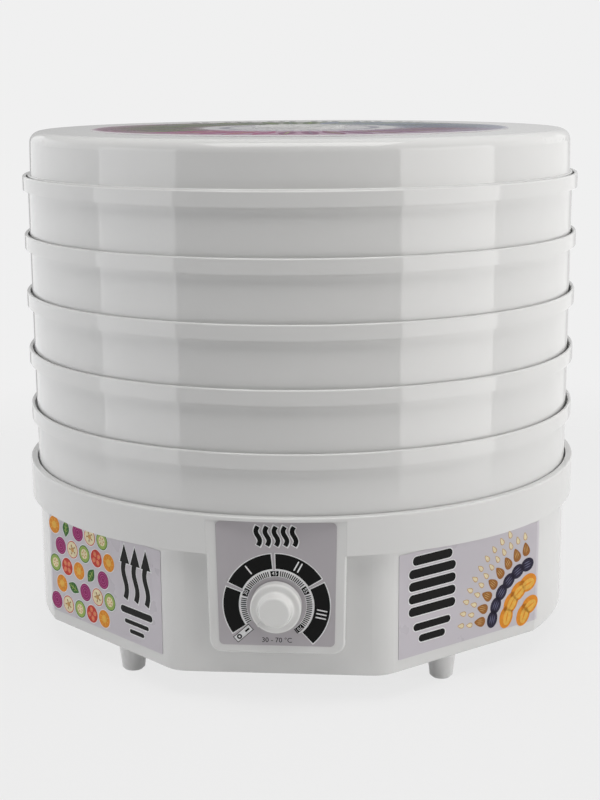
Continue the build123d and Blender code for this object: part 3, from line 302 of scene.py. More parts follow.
class Finish:
    """One node material: a principled shader with procedural colour, roughness and bump."""

    def __init__(self, name, **sockets):
        self.material = bpy.data.materials.new(name)
        self.material.use_nodes = True
        self.tree = self.material.node_tree
        self.shader = self.tree.nodes["Principled BSDF"]
        self.coords = self.node("ShaderNodeTexCoord").outputs["Object"]
        for socket, value in sockets.items():
            title = socket.replace("_", " ").title().replace("Ior", "IOR")
            self.shader.inputs[title].default_value = value

    def node(self, kind, **values):
        """A new node with its inputs set by name."""
        made = self.tree.nodes.new(kind)
        for socket, value in values.items():
            made.inputs[socket].default_value = value
        return made

    def link(self, source, target):
        self.tree.links.new(source, target)

    def stretched(self, scale):
        """Object coordinates scaled along each axis."""
        mapping = self.node("ShaderNodeMapping", Scale=scale)
        self.link(self.coords, mapping.inputs["Vector"])
        return mapping.outputs["Vector"]

    def noise(self, scale, detail=2.0, coords=None):
        """Noise value whose grains are about 1 / scale metres across."""
        texture = self.node("ShaderNodeTexNoise", Scale=scale, Detail=detail)
        self.link(coords or self.coords, texture.inputs["Vector"])
        return texture.outputs["Fac"]

    def bands(self, scale, axis):
        """Stripes across one axis."""
        texture = self.node("ShaderNodeTexWave", Scale=scale)
        texture.bands_direction = axis
        self.link(self.coords, texture.inputs["Vector"])
        return texture.outputs["Fac"]

    def ramp(self, value, stops):
        """Colour along a value, from (place, colour) stops."""
        ramp = self.node("ShaderNodeValToRGB")
        self.link(value, ramp.inputs["Fac"])
        elements = ramp.color_ramp.elements
        while len(elements) < len(stops):
            elements.new(1.0)
        for element, (place, colour) in zip(elements, stops):
            element.position = place
            element.color = (*colour, 1.0)
        return ramp.outputs["Color"]

    def mapped(self, value, low, high, start=0.3, end=0.7):
        """A value spread between two numbers."""
        spread = self.node("ShaderNodeMapRange")
        for socket, number in zip(("From Min", "From Max", "To Min", "To Max"), (start, end, low, high)):
            spread.inputs[socket].default_value = number
        self.link(value, spread.inputs["Value"])
        return spread.outputs["Result"]

    def patches(self, colour, dark, scale, detail, start=0.3, end=0.7):
        """A colour that noise darkens in patches."""
        return self.ramp(self.noise(scale, detail), [(start, shade(colour, dark)), (end, colour)])

    def colour(self, source):
        self.link(source, self.shader.inputs["Base Color"])

    def roughness(self, source):
        self.link(source, self.shader.inputs["Roughness"])

    def uneven(self, low, high, scale, detail=2.0):
        """Roughness that noise spreads between two numbers."""
        self.roughness(self.mapped(self.noise(scale, detail), low, high))

    def bump(self, height, strength, distance):
        """Bump on top of any bump that is there already."""
        bump = self.node("ShaderNodeBump", Strength=strength, Distance=distance)
        self.link(height, bump.inputs["Height"])
        normal = self.shader.inputs["Normal"]
        if normal.is_linked:
            self.link(normal.links[0].from_socket, bump.inputs["Normal"])
        self.link(bump.outputs["Normal"], normal)

    def grain(self, scale, strength, distance, detail=2.0):
        """Bumps of noise."""
        self.bump(self.noise(scale, detail), strength, distance)


def moulded(name, colour, roughness, spread=0.04, peel=0.05):
    """Moulded plastic: faint mottling, uneven gloss, slow waves in the skin and a fine peel."""
    finish = Finish(name, ior=PLASTIC_IOR)
    finish.colour(finish.patches(colour, dark=0.97, scale=7.0, detail=4.0))
    finish.uneven(roughness, roughness + spread, scale=24.0, detail=5.0)
    finish.grain(scale=18.0, strength=peel, distance=0.4 * MM, detail=1.0)
    finish.grain(scale=900.0, strength=peel, distance=0.05 * MM)
    return finish.material


def ink(name, colour, roughness, spread=0.08):
    """Printing ink: faint screen mottle on a film."""
    finish = Finish(name, ior=FILM_IOR, specular_ior_level=INK_GLOSS)
    finish.colour(finish.patches(colour, dark=0.86, scale=420.0, detail=3.0, start=0.35, end=0.65))
    finish.uneven(roughness, roughness + spread, scale=60.0, detail=3.0)
    finish.grain(scale=1400.0, strength=0.04, distance=0.03 * MM)
    return finish.material


def film(name, colour):
    """Printed plastic film that carries the ink."""
    finish = Finish(name, ior=FILM_IOR)
    finish.colour(finish.patches(colour, dark=0.985, scale=16.0, detail=4.0))
    finish.uneven(low=0.26, high=0.36, scale=40.0, detail=4.0)
    finish.grain(scale=1100.0, strength=0.05, distance=0.03 * MM)
    return finish.material


def ring_print(name, ground, inner, outer_stops, half_x, half_y):
    """Lid film: plain at its edge, coloured around the axis inside an oval, and pale in the middle."""
    finish = Finish(name, ior=FILM_IOR)
    around = finish.node("ShaderNodeTexGradient")
    around.gradient_type = "RADIAL"
    finish.link(finish.coords, around.inputs["Vector"])
    length = finish.node("ShaderNodeVectorMath")
    length.operation = "LENGTH"
    finish.link(finish.stretched((1.0 / half_x, 1.0 / half_y, 0.0)), length.inputs[0])
    place = length.outputs["Value"]
    middle = finish.patches(inner, dark=0.9, scale=30.0, detail=4.0)
    outer = finish.ramp(around.outputs["Fac"], outer_stops)
    edge = finish.patches(ground, dark=0.985, scale=16.0, detail=4.0)
    coloured = mix_colours(finish.tree, finish.mapped(place, 0.0, 1.0, *LID_MIDDLE_FADE), middle, outer)
    finish.colour(mix_colours(finish.tree, finish.mapped(place, 0.0, 1.0, *LID_EDGE_FADE), coloured, edge))
    finish.uneven(low=0.2, high=0.3, scale=40.0, detail=4.0)
    finish.grain(scale=1100.0, strength=0.05, distance=0.03 * MM)
    return finish.material


def metal(name, colour, roughness, spread=0.15, stretch=(60.0, 60.0, 900.0)):
    """Bare or plated metal with a drawn grain."""
    finish = Finish(name, metallic=1.0)
    drawn = finish.noise(scale=4.0, detail=3.0, coords=finish.stretched(stretch))
    finish.colour(finish.patches(colour, dark=0.85, scale=70.0, detail=3.0))
    finish.roughness(finish.mapped(drawn, roughness, roughness + spread))
    finish.bump(drawn, strength=0.12, distance=0.05 * MM)
    return finish.material


def laminated(name, colour, dark=0.6):
    """Stack of thin sheet steel, striped along the motor axis."""
    finish = Finish(name, metallic=1.0)
    stripes = finish.bands(scale=600.0, axis="Z")
    finish.colour(finish.ramp(stripes, [(0.2, shade(colour, dark)), (0.7, colour)]))
    finish.uneven(low=0.35, high=0.5, scale=80.0)
    finish.bump(stripes, strength=0.4, distance=0.1 * MM)
    return finish.material


def wound(name, colour, dark=0.45):
    """Enamelled wire laid in turns."""
    finish = Finish(name, metallic=1.0)
    turns = finish.bands(scale=700.0, axis="DIAGONAL")
    finish.colour(finish.ramp(turns, [(0.1, shade(colour, dark)), (0.6, colour)]))
    finish.uneven(low=0.22, high=0.34, scale=200.0)
    finish.bump(turns, strength=0.6, distance=0.2 * MM)
    return finish.material


def sheathed(name, colour, straw, blue):
    """Heater sheath, straw and blue where it has been hot."""
    finish = Finish(name, metallic=1.0)
    heat = finish.noise(scale=22.0, detail=3.0)
    finish.colour(finish.ramp(heat, [(0.3, colour), (0.5, straw), (0.68, blue)]))
    finish.uneven(low=0.32, high=0.52, scale=150.0, detail=4.0)
    finish.grain(scale=700.0, strength=0.15, distance=0.05 * MM)
    return finish.material


def matte(name, colour, roughness, spread=0.15):
    """Ceramic, silicone or filled plastic with a dull fine grain."""
    finish = Finish(name, ior=FILLED_IOR)
    finish.colour(finish.patches(colour, dark=0.88, scale=260.0, detail=4.0))
    finish.uneven(roughness, roughness + spread, scale=90.0)
    finish.grain(scale=1600.0, strength=0.2, distance=0.05 * MM)
    return finish.material


# Colours of the lid print around the axis: plum at the left, steel blue at the right and moss at the rear. The
# lighter plum at the front is partly print and partly a painted highlight of light glancing off the film.
lid_print_and_front_sheen = [(0.0, PLUM), (0.25, shade(PLUM, 1.5)), (0.5, STEEL_BLUE), (0.75, MOSS), (1.0, PLUM)]
lid_oval = (LID_ART_HALF_X * MM, LID_ART_HALF_Y * MM)
finishes = {
    "white_plastic": moulded("white_plastic", WHITE_PLASTIC, roughness=0.05, spread=0.02),
    "knob_plastic": moulded("knob_plastic", KNOB_PLASTIC, roughness=0.14),
    "inner_plastic": moulded("inner_plastic", INNER_PLASTIC, roughness=0.34, spread=0.1),
    "foot_plastic": moulded("foot_plastic", FOOT_PLASTIC, roughness=0.18),
    "dial_print": film("dial_print", DIAL_GROUND),
    "side_print": film("side_print", SIDE_GROUND),
    "lid_print": ring_print("lid_print", LID_GROUND, LID_MIDDLE, lid_print_and_front_sheen, *lid_oval),
    "black_plastic": matte("black_plastic", BLACK_PLASTIC, roughness=0.42),
    "plated_steel": metal("plated_steel", PLATED_STEEL, roughness=0.26),
    "core_steel": laminated("core_steel", CORE_STEEL),
    "heater_sheath": sheathed("heater_sheath", HEATER_STEEL, HEATER_STRAW, HEATER_BLUE),
    "insulator_ceramic": matte("insulator_ceramic", CERAMIC, roughness=0.55),
    "copper_winding": wound("copper_winding", COPPER),
    "bush_bronze": metal("bush_bronze", BRONZE, roughness=0.32),
    "lead_red": matte("lead_red", LEAD_RED, roughness=0.45),
    "lead_blue": matte("lead_blue", LEAD_BLUE, roughness=0.45),
}
for name, node in nodes.items():
    node.data.materials.clear()
    node.data.materials.append(finishes[slot_of[name]])

inks = {
    name: ink(f"ink_{name}", colour, BLACK_ROUGHNESS if name == "black" else INK_ROUGHNESS)
    for name, colour in INK_COLOURS.items()
}


# Places and outlines of printed shapes


def plane_at(origin, right, up):
    """Matrix from a plate's own millimetres to the frame."""
    turn = Matrix((right, up, right.cross(up))).transposed().to_4x4()
    return Matrix.Translation(origin) @ turn @ Matrix.Scale(MM, 4)


def reach(node, direction):
    """How far a node's solid goes along a direction."""
    return max(vertex.co.dot(direction) for vertex in nodes[node].data.vertices)


def middle_height(node):
    low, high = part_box(node)
    return (low.z + high.z) / 2


def polar(radius, angle, centre=(0.0, 0.0)):
    return (centre[0] + radius * cos(angle), centre[1] + radius * sin(angle))


def row(count, pitch):
    """Evenly spaced places about zero."""
    return [(k - (count - 1) / 2) * pitch for k in range(count)]


def rays(count, start=0.0):
    """Evenly spaced angles around a full turn."""
    return [start + tau * k / count for k in range(count)]


def placed(points, centre, turn):
    """An outline turned about its own origin and moved."""
    return [
        (centre[0] + u * cos(turn) - v * sin(turn), centre[1] + u * sin(turn) + v * cos(turn))
        for u, v in points
    ]


def ellipse(centre, half_u, half_v, turn=0.0, sides=36):
    ring = [(half_u * cos(angle), half_v * sin(angle)) for angle in rays(sides)]
    return placed(ring, centre, turn)


def disc(centre, radius):
    return ellipse(centre, radius, radius)


def bar(centre, length, width, turn=0.0):
    half, side = length / 2, width / 2
    return placed([(-half, -side), (half, -side), (half, side), (-half, side)], centre, turn)


def pill(centre, length, width, turn=0.0, sides=10):
    """Bar with round ends."""
    radius = width / 2
    half = length / 2 - radius
    right = [polar(radius, pi * k / sides - pi / 2, (half, 0.0)) for k in range(sides + 1)]
    left = [polar(radius, pi * k / sides + pi / 2, (-half, 0.0)) for k in range(sides + 1)]
    return placed(right + left, centre, turn)


def leaf(centre, length, width, turn=0.0, sides=14):
    """Almond shape with two points."""
    steps = [k / sides for k in range(sides + 1)]
    upper = [(length * (t - 0.5), width / 2 * sin(pi * t)) for t in steps]
    lower = [(u, -v) for u, v in upper[-2:0:-1]]
    return placed(upper + lower, centre, turn)


def drop(centre, length, width, turn=0.0, sides=28, pinch=0.45):
    """Seed shape, round at one end and pointed at the other."""
    ring = []
    for angle in rays(sides):
        ring.append((length / 2 * cos(angle), width / 2 * sin(angle) * (1 - pinch * cos(angle))))
    return placed(ring, centre, turn)


def sector(inner, outer, start, end, centre=(0.0, 0.0)):
    """Part of a flat ring between two angles."""
    count = max(2, round(abs(end - start) / ARC_STEP))
    angles = [start + (end - start) * k / count for k in range(count + 1)]
    far = [polar(outer, angle, centre) for angle in angles]
    near = [polar(inner, angle, centre) for angle in reversed(angles)]
    return far + near


def band(inner, outer, centre=(0.0, 0.0)):
    """Whole flat ring, as two halves."""
    return [sector(inner, outer, 0.0, pi, centre), sector(inner, outer, pi, tau, centre)]


def ribbon(line, width):
    """Stroke of even width along a line of points."""
    left, right = [], []
    for k, (u, v) in enumerate(line):
        before, after = line[max(k - 1, 0)], line[min(k + 1, len(line) - 1)]
        angle = atan2(after[1] - before[1], after[0] - before[0]) + pi / 2
        left.append(polar(width / 2, angle, (u, v)))
        right.append(polar(width / 2, angle + pi, (u, v)))
    return right + left[::-1]


def wave(centre, height, swing, width, steps=24):
    """Upright wavy stroke."""
    places = [k / steps for k in range(steps + 1)]
    line = [(centre[0] + swing * sin(tau * t), centre[1] + height * (t - 0.5)) for t in places]
    return ribbon(line, width)


# Printed pieces


def signed_area(points):
    pairs = zip(points, points[1:] + points[:1])
    return sum(a[0] * b[1] - b[0] * a[1] for a, b in pairs) / 2


def add_prism(shapes, points, place, low, high):
    """Adds a closed flat solid over an outline."""
    ring = points if signed_area(points) > 0 else points[::-1]
    foot = [shapes.verts.new(place @ Vector((u, v, low))) for u, v in ring]
    head = [shapes.verts.new(place @ Vector((u, v, high))) for u, v in ring]
    shapes.faces.new(head)
    shapes.faces.new(foot[::-1])
    for k in range(len(ring)):
        after = (k + 1) % len(ring)
        shapes.faces.new((foot[k], foot[after], head[after], head[k]))


def add_words(shapes, words, size, centre, turn, place, low, high):
    """Adds plain figures as flat solids."""
    curve = bpy.data.curves.new("words", "FONT")
    curve.body = words
    curve.size = size
    curve.align_x = "CENTER"
    curve.align_y = "CENTER"
    curve.resolution_u = FIGURE_STEPS
    curve.extrude = (high - low) / 2
    holder = bpy.data.objects.new("words", curve)
    mesh = bpy.data.meshes.new_from_object(holder)
    lift = Matrix.Translation((*centre, (high + low) / 2))
    mesh.transform(place @ lift @ Matrix.Rotation(turn, 4, "Z"))
    shapes.from_mesh(mesh)
    bpy.data.meshes.remove(mesh)
    bpy.data.objects.remove(holder)
    bpy.data.curves.remove(curve)


def add_piece(name, shapes, material, body):
    """Turns gathered shapes into one piece that rides on a body."""
    mesh = bpy.data.meshes.new(name)
    shapes.to_mesh(mesh)
    shapes.free()
    mesh.materials.append(material)
    piece = bpy.data.objects.new(name, mesh)
    bpy.context.collection.objects.link(piece)
    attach(piece, body)


class Print:
    """The inks of one plate: outlines gathered by colour and layer, then made into pieces."""

    def __init__(self, name, place, slot, body):
        self.name = name
        self.place = place
        self.slot = slot
        self.body = body
        self.inks = {}

    def add(self, colour, layer, *outlines):
        self.inks.setdefault((colour, layer), []).extend(outlines)

    def figures(self, colour, layer, words, size, centre, turn=0.0):
        self.inks.setdefault((colour, layer), []).append((words, size, centre, turn))

    def make(self):
        for (colour, layer), outlines in self.inks.items():
            shapes = bmesh.new()
            low, high = -INK_STEP / 2, layer * INK_STEP
            for outline in outlines:
                if isinstance(outline, tuple):
                    add_words(shapes, *outline, self.place, low, high)
                else:
                    add_prism(shapes, outline, self.place, low, high)
            add_piece(f"{self.name}_{colour}_{layer}", shapes, inks[colour], self.body)


# Dial plate


def add_heat_ranges(dial):
    """Black arcs with a pale border, and one more mark on each."""
    border = ARC_BORDER / ARC_OUTER
    for marks, ((start, end), mark_angle) in enumerate(zip(ARC_SPANS, MARK_ANGLES)):
        first, last = radians(start), radians(end)
        wide = sector(ARC_INNER - ARC_BORDER, ARC_OUTER + ARC_BORDER, first + border, last - border)
        dial.add("pale", 1, wide)
        dial.add("black", 2, sector(ARC_INNER, ARC_OUTER, first, last))
        for aside in row(marks, MARK_PITCH):
            turn = radians(mark_angle)
            spot = polar(aside, turn + pi / 2, polar((ARC_INNER + ARC_OUTER) / 2, turn))
            dial.add("pale", 3, pill(spot, MARK_LENGTH, MARK_WIDTH, turn))


def add_scale(dial):
    """Pale ring of ticks inside the arcs, with figures on black fields."""
    middle = (TICK_INNER + TICK_OUTER) / 2
    start = ARC_SPANS[0][0]
    end = FIGURES[-1][1] - FIGURE_HALF
    ground = sector(TICK_INNER - TICK_MARGIN, ARC_INNER - ARC_BORDER, radians(start), radians(end))
    dial.add("pale", 1, ground)
    for k in range(int((start - end) / TICK_STEP) + 1):
        angle = start - (k + 0.5) * TICK_STEP
        if all(abs(angle - place) > FIGURE_HALF + FIGURE_GAP for _, place in FIGURES):
            turn = radians(angle)
            dial.add("black", 2, bar(polar(middle, turn), TICK_OUTER - TICK_INNER, TICK_WIDTH, turn))
    for words, place in FIGURES:
        turn = radians(place)
        field = sector(TICK_INNER, TICK_OUTER, radians(place - FIGURE_HALF), radians(place + FIGURE_HALF))
        dial.add("black", 2, field)
        dial.figures("pale", 3, words, FIGURE_SIZE, polar(middle, turn), turn - pi / 2)


def add_off_mark(dial):
    """Boxed ring and stroke at the foot of the first arc."""
    quarter = OFF_LENGTH / 4
    centre = polar(OFF_RADIUS, OFF_ANGLE)
    far = polar(OFF_RADIUS + quarter, OFF_ANGLE)
    near = polar(OFF_RADIUS - quarter, OFF_ANGLE)
    dial.add("black", 1, bar(centre, OFF_LENGTH, OFF_WIDTH, OFF_ANGLE))
    dial.add("pale", 2, bar(centre, OFF_LENGTH - 2 * OFF_BORDER, OFF_WIDTH - 2 * OFF_BORDER, OFF_ANGLE))
    dial.add("black", 3, *band(*OFF_RING, far))
    dial.add("black", 3, bar(near, quarter, OFF_WIDTH / 4, OFF_ANGLE))


def add_heat_waves(dial):
    """Row of upright waves with a pale border."""
    border = 2 * ARC_BORDER
    for u in row(HEAT_WAVES, HEAT_PITCH):
        spot = (u, HEAT_RISE)
        dial.add("pale", 1, wave(spot, HEAT_HEIGHT + border, HEAT_SWING, HEAT_WIDTH + border))
        dial.add("black", 2, wave(spot, HEAT_HEIGHT, HEAT_SWING, HEAT_WIDTH))


def draw_dial_plate():
    """Dial plate, drawn about the knob's axis."""
    knob_joint = next(joint for joint in frame["joints"] if joint["name"] == "knob_turn")
    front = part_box("dial_label")[0].y
    place = plane_at(Vector((0.0, front, knob_joint["pos_m"][2])), RIGHT, UP)
    dial = Print("dial_ink", place, "dial_print", "base")
    add_heat_ranges(dial)
    add_scale(dial)
    add_off_mark(dial)
    add_heat_waves(dial)
    dial.figures("black", 1, "30 - 70 °C", UNIT_SIZE, (0.0, -UNIT_DROP))
    dial.make()


# Side plates


def side_place(node, angle):
    """Plane of a slanted plate, about its middle."""
    out = Vector((sin(angle), -cos(angle), 0.0))
    right = Vector((cos(angle), sin(angle), 0.0))
    aside = (reach(node, right) - reach(node, -right)) / 2
    return plane_at(out * reach(node, out) + right * aside + UP * middle_height(node), right, UP)


def bordered_pill(plate, centre, length, width):
    plate.add("pale", 1, pill(centre, length + 2 * LINE_BORDER, width + 2 * LINE_BORDER))
    plate.add("black", 2, pill(centre, length, width))


# Left plate


def coin(plate, colour, centre):
    """Round slice with a pale border."""
    plate.add("pale", 1, disc(centre, MOTIF_RADIUS + MOTIF_BORDER))
    plate.add(colour, 2, disc(centre, MOTIF_RADIUS))


def apple_ring(plate, centre, turn, core=1.7, pips=5, pip_place=2.6, pip_size=(1.9, 0.9)):
    coin(plate, "tomato", centre)
    plate.add("cream", 3, disc(centre, MOTIF_RADIUS - MOTIF_SKIN))
    plate.add("tan", 4, disc(centre, core))
    for ray in rays(pips, turn):
        plate.add("nut", 4, drop(polar(pip_place, ray, centre), *pip_size, ray + pi))


def beet_slice(plate, centre, turn, rings=(1.4, 3.0, 4.6), ring_width=0.5):
    coin(plate, "beet", centre)
    for inner in rings:
        plate.add("orchid", 3, *band(inner, inner + ring_width, centre))


def carrot_coin(plate, centre, turn, core=2.6, strokes=8, stroke_place=3.9, stroke_size=(2.2, 0.6)):
    coin(plate, "orange", centre)
    plate.add("amber", 3, disc(centre, core))
    for ray in rays(strokes, turn):
        plate.add("amber", 3, leaf(polar(stroke_place, ray, centre), *stroke_size, ray))


def add_veins(plate, centre, turn, size, pairs=3, pitch=2.6, place=1.4, slant=radians(48.0)):
    """Pairs of slanted strokes along a leaf's rib."""
    for along in row(pairs, pitch):
        for vein in (turn - slant, turn + slant):
            root = polar(along, turn, centre)
            plate.add("sprout", 4, leaf(polar(place, vein, root), *size, vein))


def green_leaf(plate, centre, turn, size=(12.2, 7.4), rib_size=(10.2, 0.8), vein_size=(2.6, 0.45)):
    length, width = size
    plate.add("pale", 1, leaf(centre, length + 2 * MOTIF_BORDER, width + 2 * MOTIF_BORDER, turn))
    plate.add("leaf", 2, leaf(centre, length, width, turn))
    plate.add("sprout", 3, leaf(centre, *rib_size, turn))
    add_veins(plate, centre, turn, vein_size)


def marrow_slice(plate, centre, turn, heart=3.4, seeds=6, seed_place=2.1, seed_size=(1.7, 0.8)):
    coin(plate, "leaf", centre)
    plate.add("sprout", 3, disc(centre, MOTIF_RADIUS - MOTIF_SKIN))
    plate.add("cream", 4, disc(centre, heart))
    for ray in rays(seeds, turn):
        plate.add("tan", 5, drop(polar(seed_place, ray, centre), *seed_size, ray))


def tomato_slice(plate, centre, turn, chambers=4, chamber_place=3.0, chamber_half=(1.9, 1.6),
                 seed_place=3.1, seed_size=(1.3, 0.6)):
    coin(plate, "tomato", centre)
    for ray in rays(chambers, turn):
        plate.add("coral", 3, ellipse(polar(chamber_place, ray, centre), *chamber_half, ray))
        plate.add("amber", 4, drop(polar(seed_place, ray, centre), *seed_size, ray))


def arrow(plate, u, grow, colour, layer):
    """Wavy arrow that points up, grown outwards all round."""
    stem = (u, (ARROW_FOOT + ARROW_NECK) / 2)
    height = ARROW_NECK - ARROW_FOOT + 2 * grow
    plate.add(colour, layer, wave(stem, height, ARROW_SWING, ARROW_STEM + 2 * grow))
    half = ARROW_HEAD / 2 + BARB_GROWTH * grow
    base = ARROW_NECK - ARROW_BARB - grow
    tip = ARROW_TIP + TIP_GROWTH * grow
    plate.add(colour, layer + 1, [(u - half, base), (u + half, base), (u, tip)])


MOTIFS = (carrot_coin, green_leaf, beet_slice, apple_ring, marrow_slice, tomato_slice)


def draw_left_plate():
    """Left plate: rows of slices and leaves, and arrows that rise from bars."""
    plate = Print("left_ink", side_place("left_label", -SIDE_ANGLE), "side_print", "base")
    for line in range(GRID_ROWS):
        for column in range(GRID_COLUMNS):
            shift = GRID_SHIFT * (line % 2)
            spot = (GRID_START[0] + GRID_PITCH[0] * column + shift, GRID_START[1] - GRID_PITCH[1] * line)
            motif = MOTIFS[(2 * line + column) % len(MOTIFS)]
            motif(plate, spot, radians(FIRST_TURN + COLUMN_TURN * column + ROW_TURN * line))
    for aside in row(ARROWS, ARROW_PITCH):
        arrow(plate, ARROW_MIDDLE + aside, LINE_BORDER, "pale", 1)
        arrow(plate, ARROW_MIDDLE + aside, 0.0, "black", 3)
    for v, length, width in LEFT_BARS:
        bordered_pill(plate, (ARROW_MIDDLE, v), length, width)
    plate.make()


# Right plate


def apricot(plate, centre, turn, half=(7.8, 6.0), cheek_half=(5.6, 3.4), cheek_rise=1.0,
            seam_size=(8.8, 1.1), seam_rise=0.8):
    above = turn + pi / 2
    plate.add("orange", 1, ellipse(centre, *half, turn))
    plate.add("amber", 2, ellipse(polar(cheek_rise, above, centre), *cheek_half, turn))
    plate.add("orange", 3, leaf(polar(seam_rise, above, centre), *seam_size, turn))


def add_creases(plate, colour, centre, turn, pitch, length, width):
    """Three strokes side by side, the outer two shorter."""
    for k in (-1, 0, 1):
        spot = polar(pitch * k, turn + pi / 2, centre)
        plate.add(colour, 2, leaf(spot, length - CREASE_TAPER * abs(k), width, turn))


def prune(plate, centre, turn, half=(5.8, 4.6)):
    plate.add("prune", 1, ellipse(centre, *half, turn))
    add_creases(plate, "slate", centre, turn, pitch=1.7, length=7.4, width=0.7)


def almond(plate, centre, turn, size=(9.6, 6.2)):
    plate.add("nut", 1, drop(centre, *size, turn))
    add_creases(plate, "tan", centre, turn, pitch=1.3, length=6.6, width=0.55)


def seed(plate, centre, turn, size=(5.6, 3.2), inner_size=(4.6, 2.3)):
    plate.add("tan", 1, drop(centre, *size, turn))
    plate.add("cream", 2, drop(centre, *inner_size, turn))


# Radius, count, motif and first angle of each row of the fan
FAN_ROWS = (
    (12.0, 2, apricot, 95.0),
    (27.5, 4, apricot, 95.0),
    (40.0, 6, prune, 95.0),
    (51.0, 8, almond, 96.0),
    (60.0, 12, seed, 97.0),
    (67.5, 10, seed, 108.0),
)
POINTED = (almond, seed)


def draw_right_plate():
    """Right plate: a fan of fruit about its lower corner, and a stack of bars."""
    plate = Print("right_ink", side_place("right_label", SIDE_ANGLE), "side_print", "base")
    for radius, count, motif, start in FAN_ROWS:
        for k in range(count):
            ray = radians(start + (FAN_END - start) * (k + 0.5) / count)
            motif(plate, polar(radius, ray, FAN_CORNER), ray if motif in POINTED else ray + pi / 2)
    for level, rise in enumerate(row(STACK_LEVELS, STACK_PITCH)):
        taper = STACK_TAPER if level == STACK_LEVELS - 1 else 0.0
        spot = (STACK_MIDDLE[0], STACK_MIDDLE[1] + rise)
        bordered_pill(plate, spot, STACK_WIDTH - taper, STACK_BAR)
    for v, length, width in RIGHT_BARS:
        bordered_pill(plate, (STACK_MIDDLE[0], v), length, width)
    plate.make()


# Lid ring


def oval_radius(ray):
    """How far the coloured oval goes along a ray."""
    return 1.0 / hypot(cos(ray) / LID_ART_HALF_X, sin(ray) / LID_ART_HALF_Y)


def draw_lid_ring():
    """Lid film: petals that change colour around the axis, with strokes inside and dashes outside."""
    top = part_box("lid_label")[1].z
    lid = Print("lid_ink", plane_at(UP * top, RIGHT, BACK), "lid_print", "lid")
    for k, ray in enumerate(rays(PETALS)):
        length = oval_radius(ray) - PETAL_MARGIN - PETAL_START
        middle = polar(PETAL_START + length / 2, ray)
        colour = PETAL_COLOURS[k * len(PETAL_COLOURS) // PETALS]
        vein = "steel_blue" if k % 2 else "sprout"
        lid.add(colour, 1, leaf(middle, length, PETAL_WIDTH, ray))
        lid.add(vein, 2, leaf(middle, length * VEIN_SHARE, VEIN_WIDTH, ray))
    for ray in rays(HALO_STROKES):
        lid.add("slate", 1, pill(polar(HALO_MIDDLE, ray), HALO_LENGTH, HALO_WIDTH, ray))
    for k in range(DASHES):
        ray = radians(DASH_START + (DASH_END - DASH_START) * k / (DASHES - 1))
        if k % DASH_GROUP:
            spot = polar(oval_radius(ray) + DASH_OFFSET, ray)
            lid.add("black", 1, pill(spot, DASH_LENGTH, DASH_WIDTH, ray))
    lid.make()


# Net ribs


def add_ring(shapes, radius, low, high):
    """Closed flat ring rib."""
    half = RIB_WIDTH / 2
    corners = ((radius - half, low), (radius + half, low), (radius + half, high), (radius - half, high))
    loops = []
    for angle in rays(RIB_SIDES):
        loops.append([shapes.verts.new((r * cos(angle), r * sin(angle), z)) for r, z in corners])
    for k, loop in enumerate(loops):
        after = loops[(k + 1) % RIB_SIDES]
        for side in range(len(corners)):
            beside = (side + 1) % len(corners)
            shapes.faces.new((loop[side], after[side], after[beside], loop[beside]))


def add_ribs(net):
    """Fine rings between the coarse ribs of a net, as one piece."""
    low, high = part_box(net)
    rings = bmesh.new()
    for k in range(int((high.x - RIB_START) / RIB_PITCH)):
        add_ring(rings, RIB_START + k * RIB_PITCH, low.z + RIB_INSET, high.z - RIB_INSET)
    bmesh.ops.recalc_face_normals(rings, faces=rings.faces)
    tray = net.removesuffix("_net")
    add_piece(f"{tray}_ribs", rings, finishes["white_plastic"], tray)


# Studio


def smooth_step(tree, value, ends):
    """Value that goes smoothly from 0 to 1 between two ends."""
    step = tree.nodes.new("ShaderNodeMapRange")
    step.interpolation_type = "SMOOTHSTEP"
    step.inputs["From Min"].default_value, step.inputs["From Max"].default_value = ends
    tree.links.new(value, step.inputs["Value"])
    return step.outputs["Result"]


def mix_shaders(tree, share, first, second):
    """One shader turning into another."""
    mix = tree.nodes.new("ShaderNodeMixShader")
    tree.links.new(share, mix.inputs["Fac"])
    tree.links.new(first, mix.inputs[1])
    tree.links.new(second, mix.inputs[2])
    return mix.outputs["Shader"]


def seen_ray(tree):
    """Value that is 1 for camera, glossy and transmission rays."""
    path = tree.nodes.new("ShaderNodeLightPath")
    total = path.outputs["Is Camera Ray"]
    for ray in ("Is Glossy Ray", "Is Transmission Ray"):
        larger = tree.nodes.new("ShaderNodeMath")
        larger.operation = "MAXIMUM"
        tree.links.new(total, larger.inputs[0])
        tree.links.new(path.outputs[ray], larger.inputs[1])
        total = larger.outputs["Value"]
    return total


def add_world():
    """Pale backdrop for the camera; its surroundings are dark in front and brightest at the rear right."""
    world = bpy.data.worlds.new("studio")
    bpy.context.scene.world = world
    world.use_nodes = True
    tree = world.node_tree
    coords = tree.nodes.new("ShaderNodeTexCoord")
    axes = tree.nodes.new("ShaderNodeSeparateXYZ")
    tree.links.new(coords.outputs["Generated"], axes.inputs["Vector"])
    turn = smooth_step(tree, axes.outputs["X"], STUDIO_TURN)
    depth = smooth_step(tree, axes.outputs["Y"], STUDIO_DEPTH)
    rear = mix_colours(tree, turn, STUDIO_REAR_LEFT, STUDIO_REAR_RIGHT)
    studio = mix_colours(tree, depth, STUDIO_FRONT, rear)
    path = tree.nodes.new("ShaderNodeLightPath")
    shown = mix_colours(tree, path.outputs["Is Camera Ray"], studio, BACKDROP)
    tree.links.new(shown, tree.nodes["Background"].inputs["Color"])


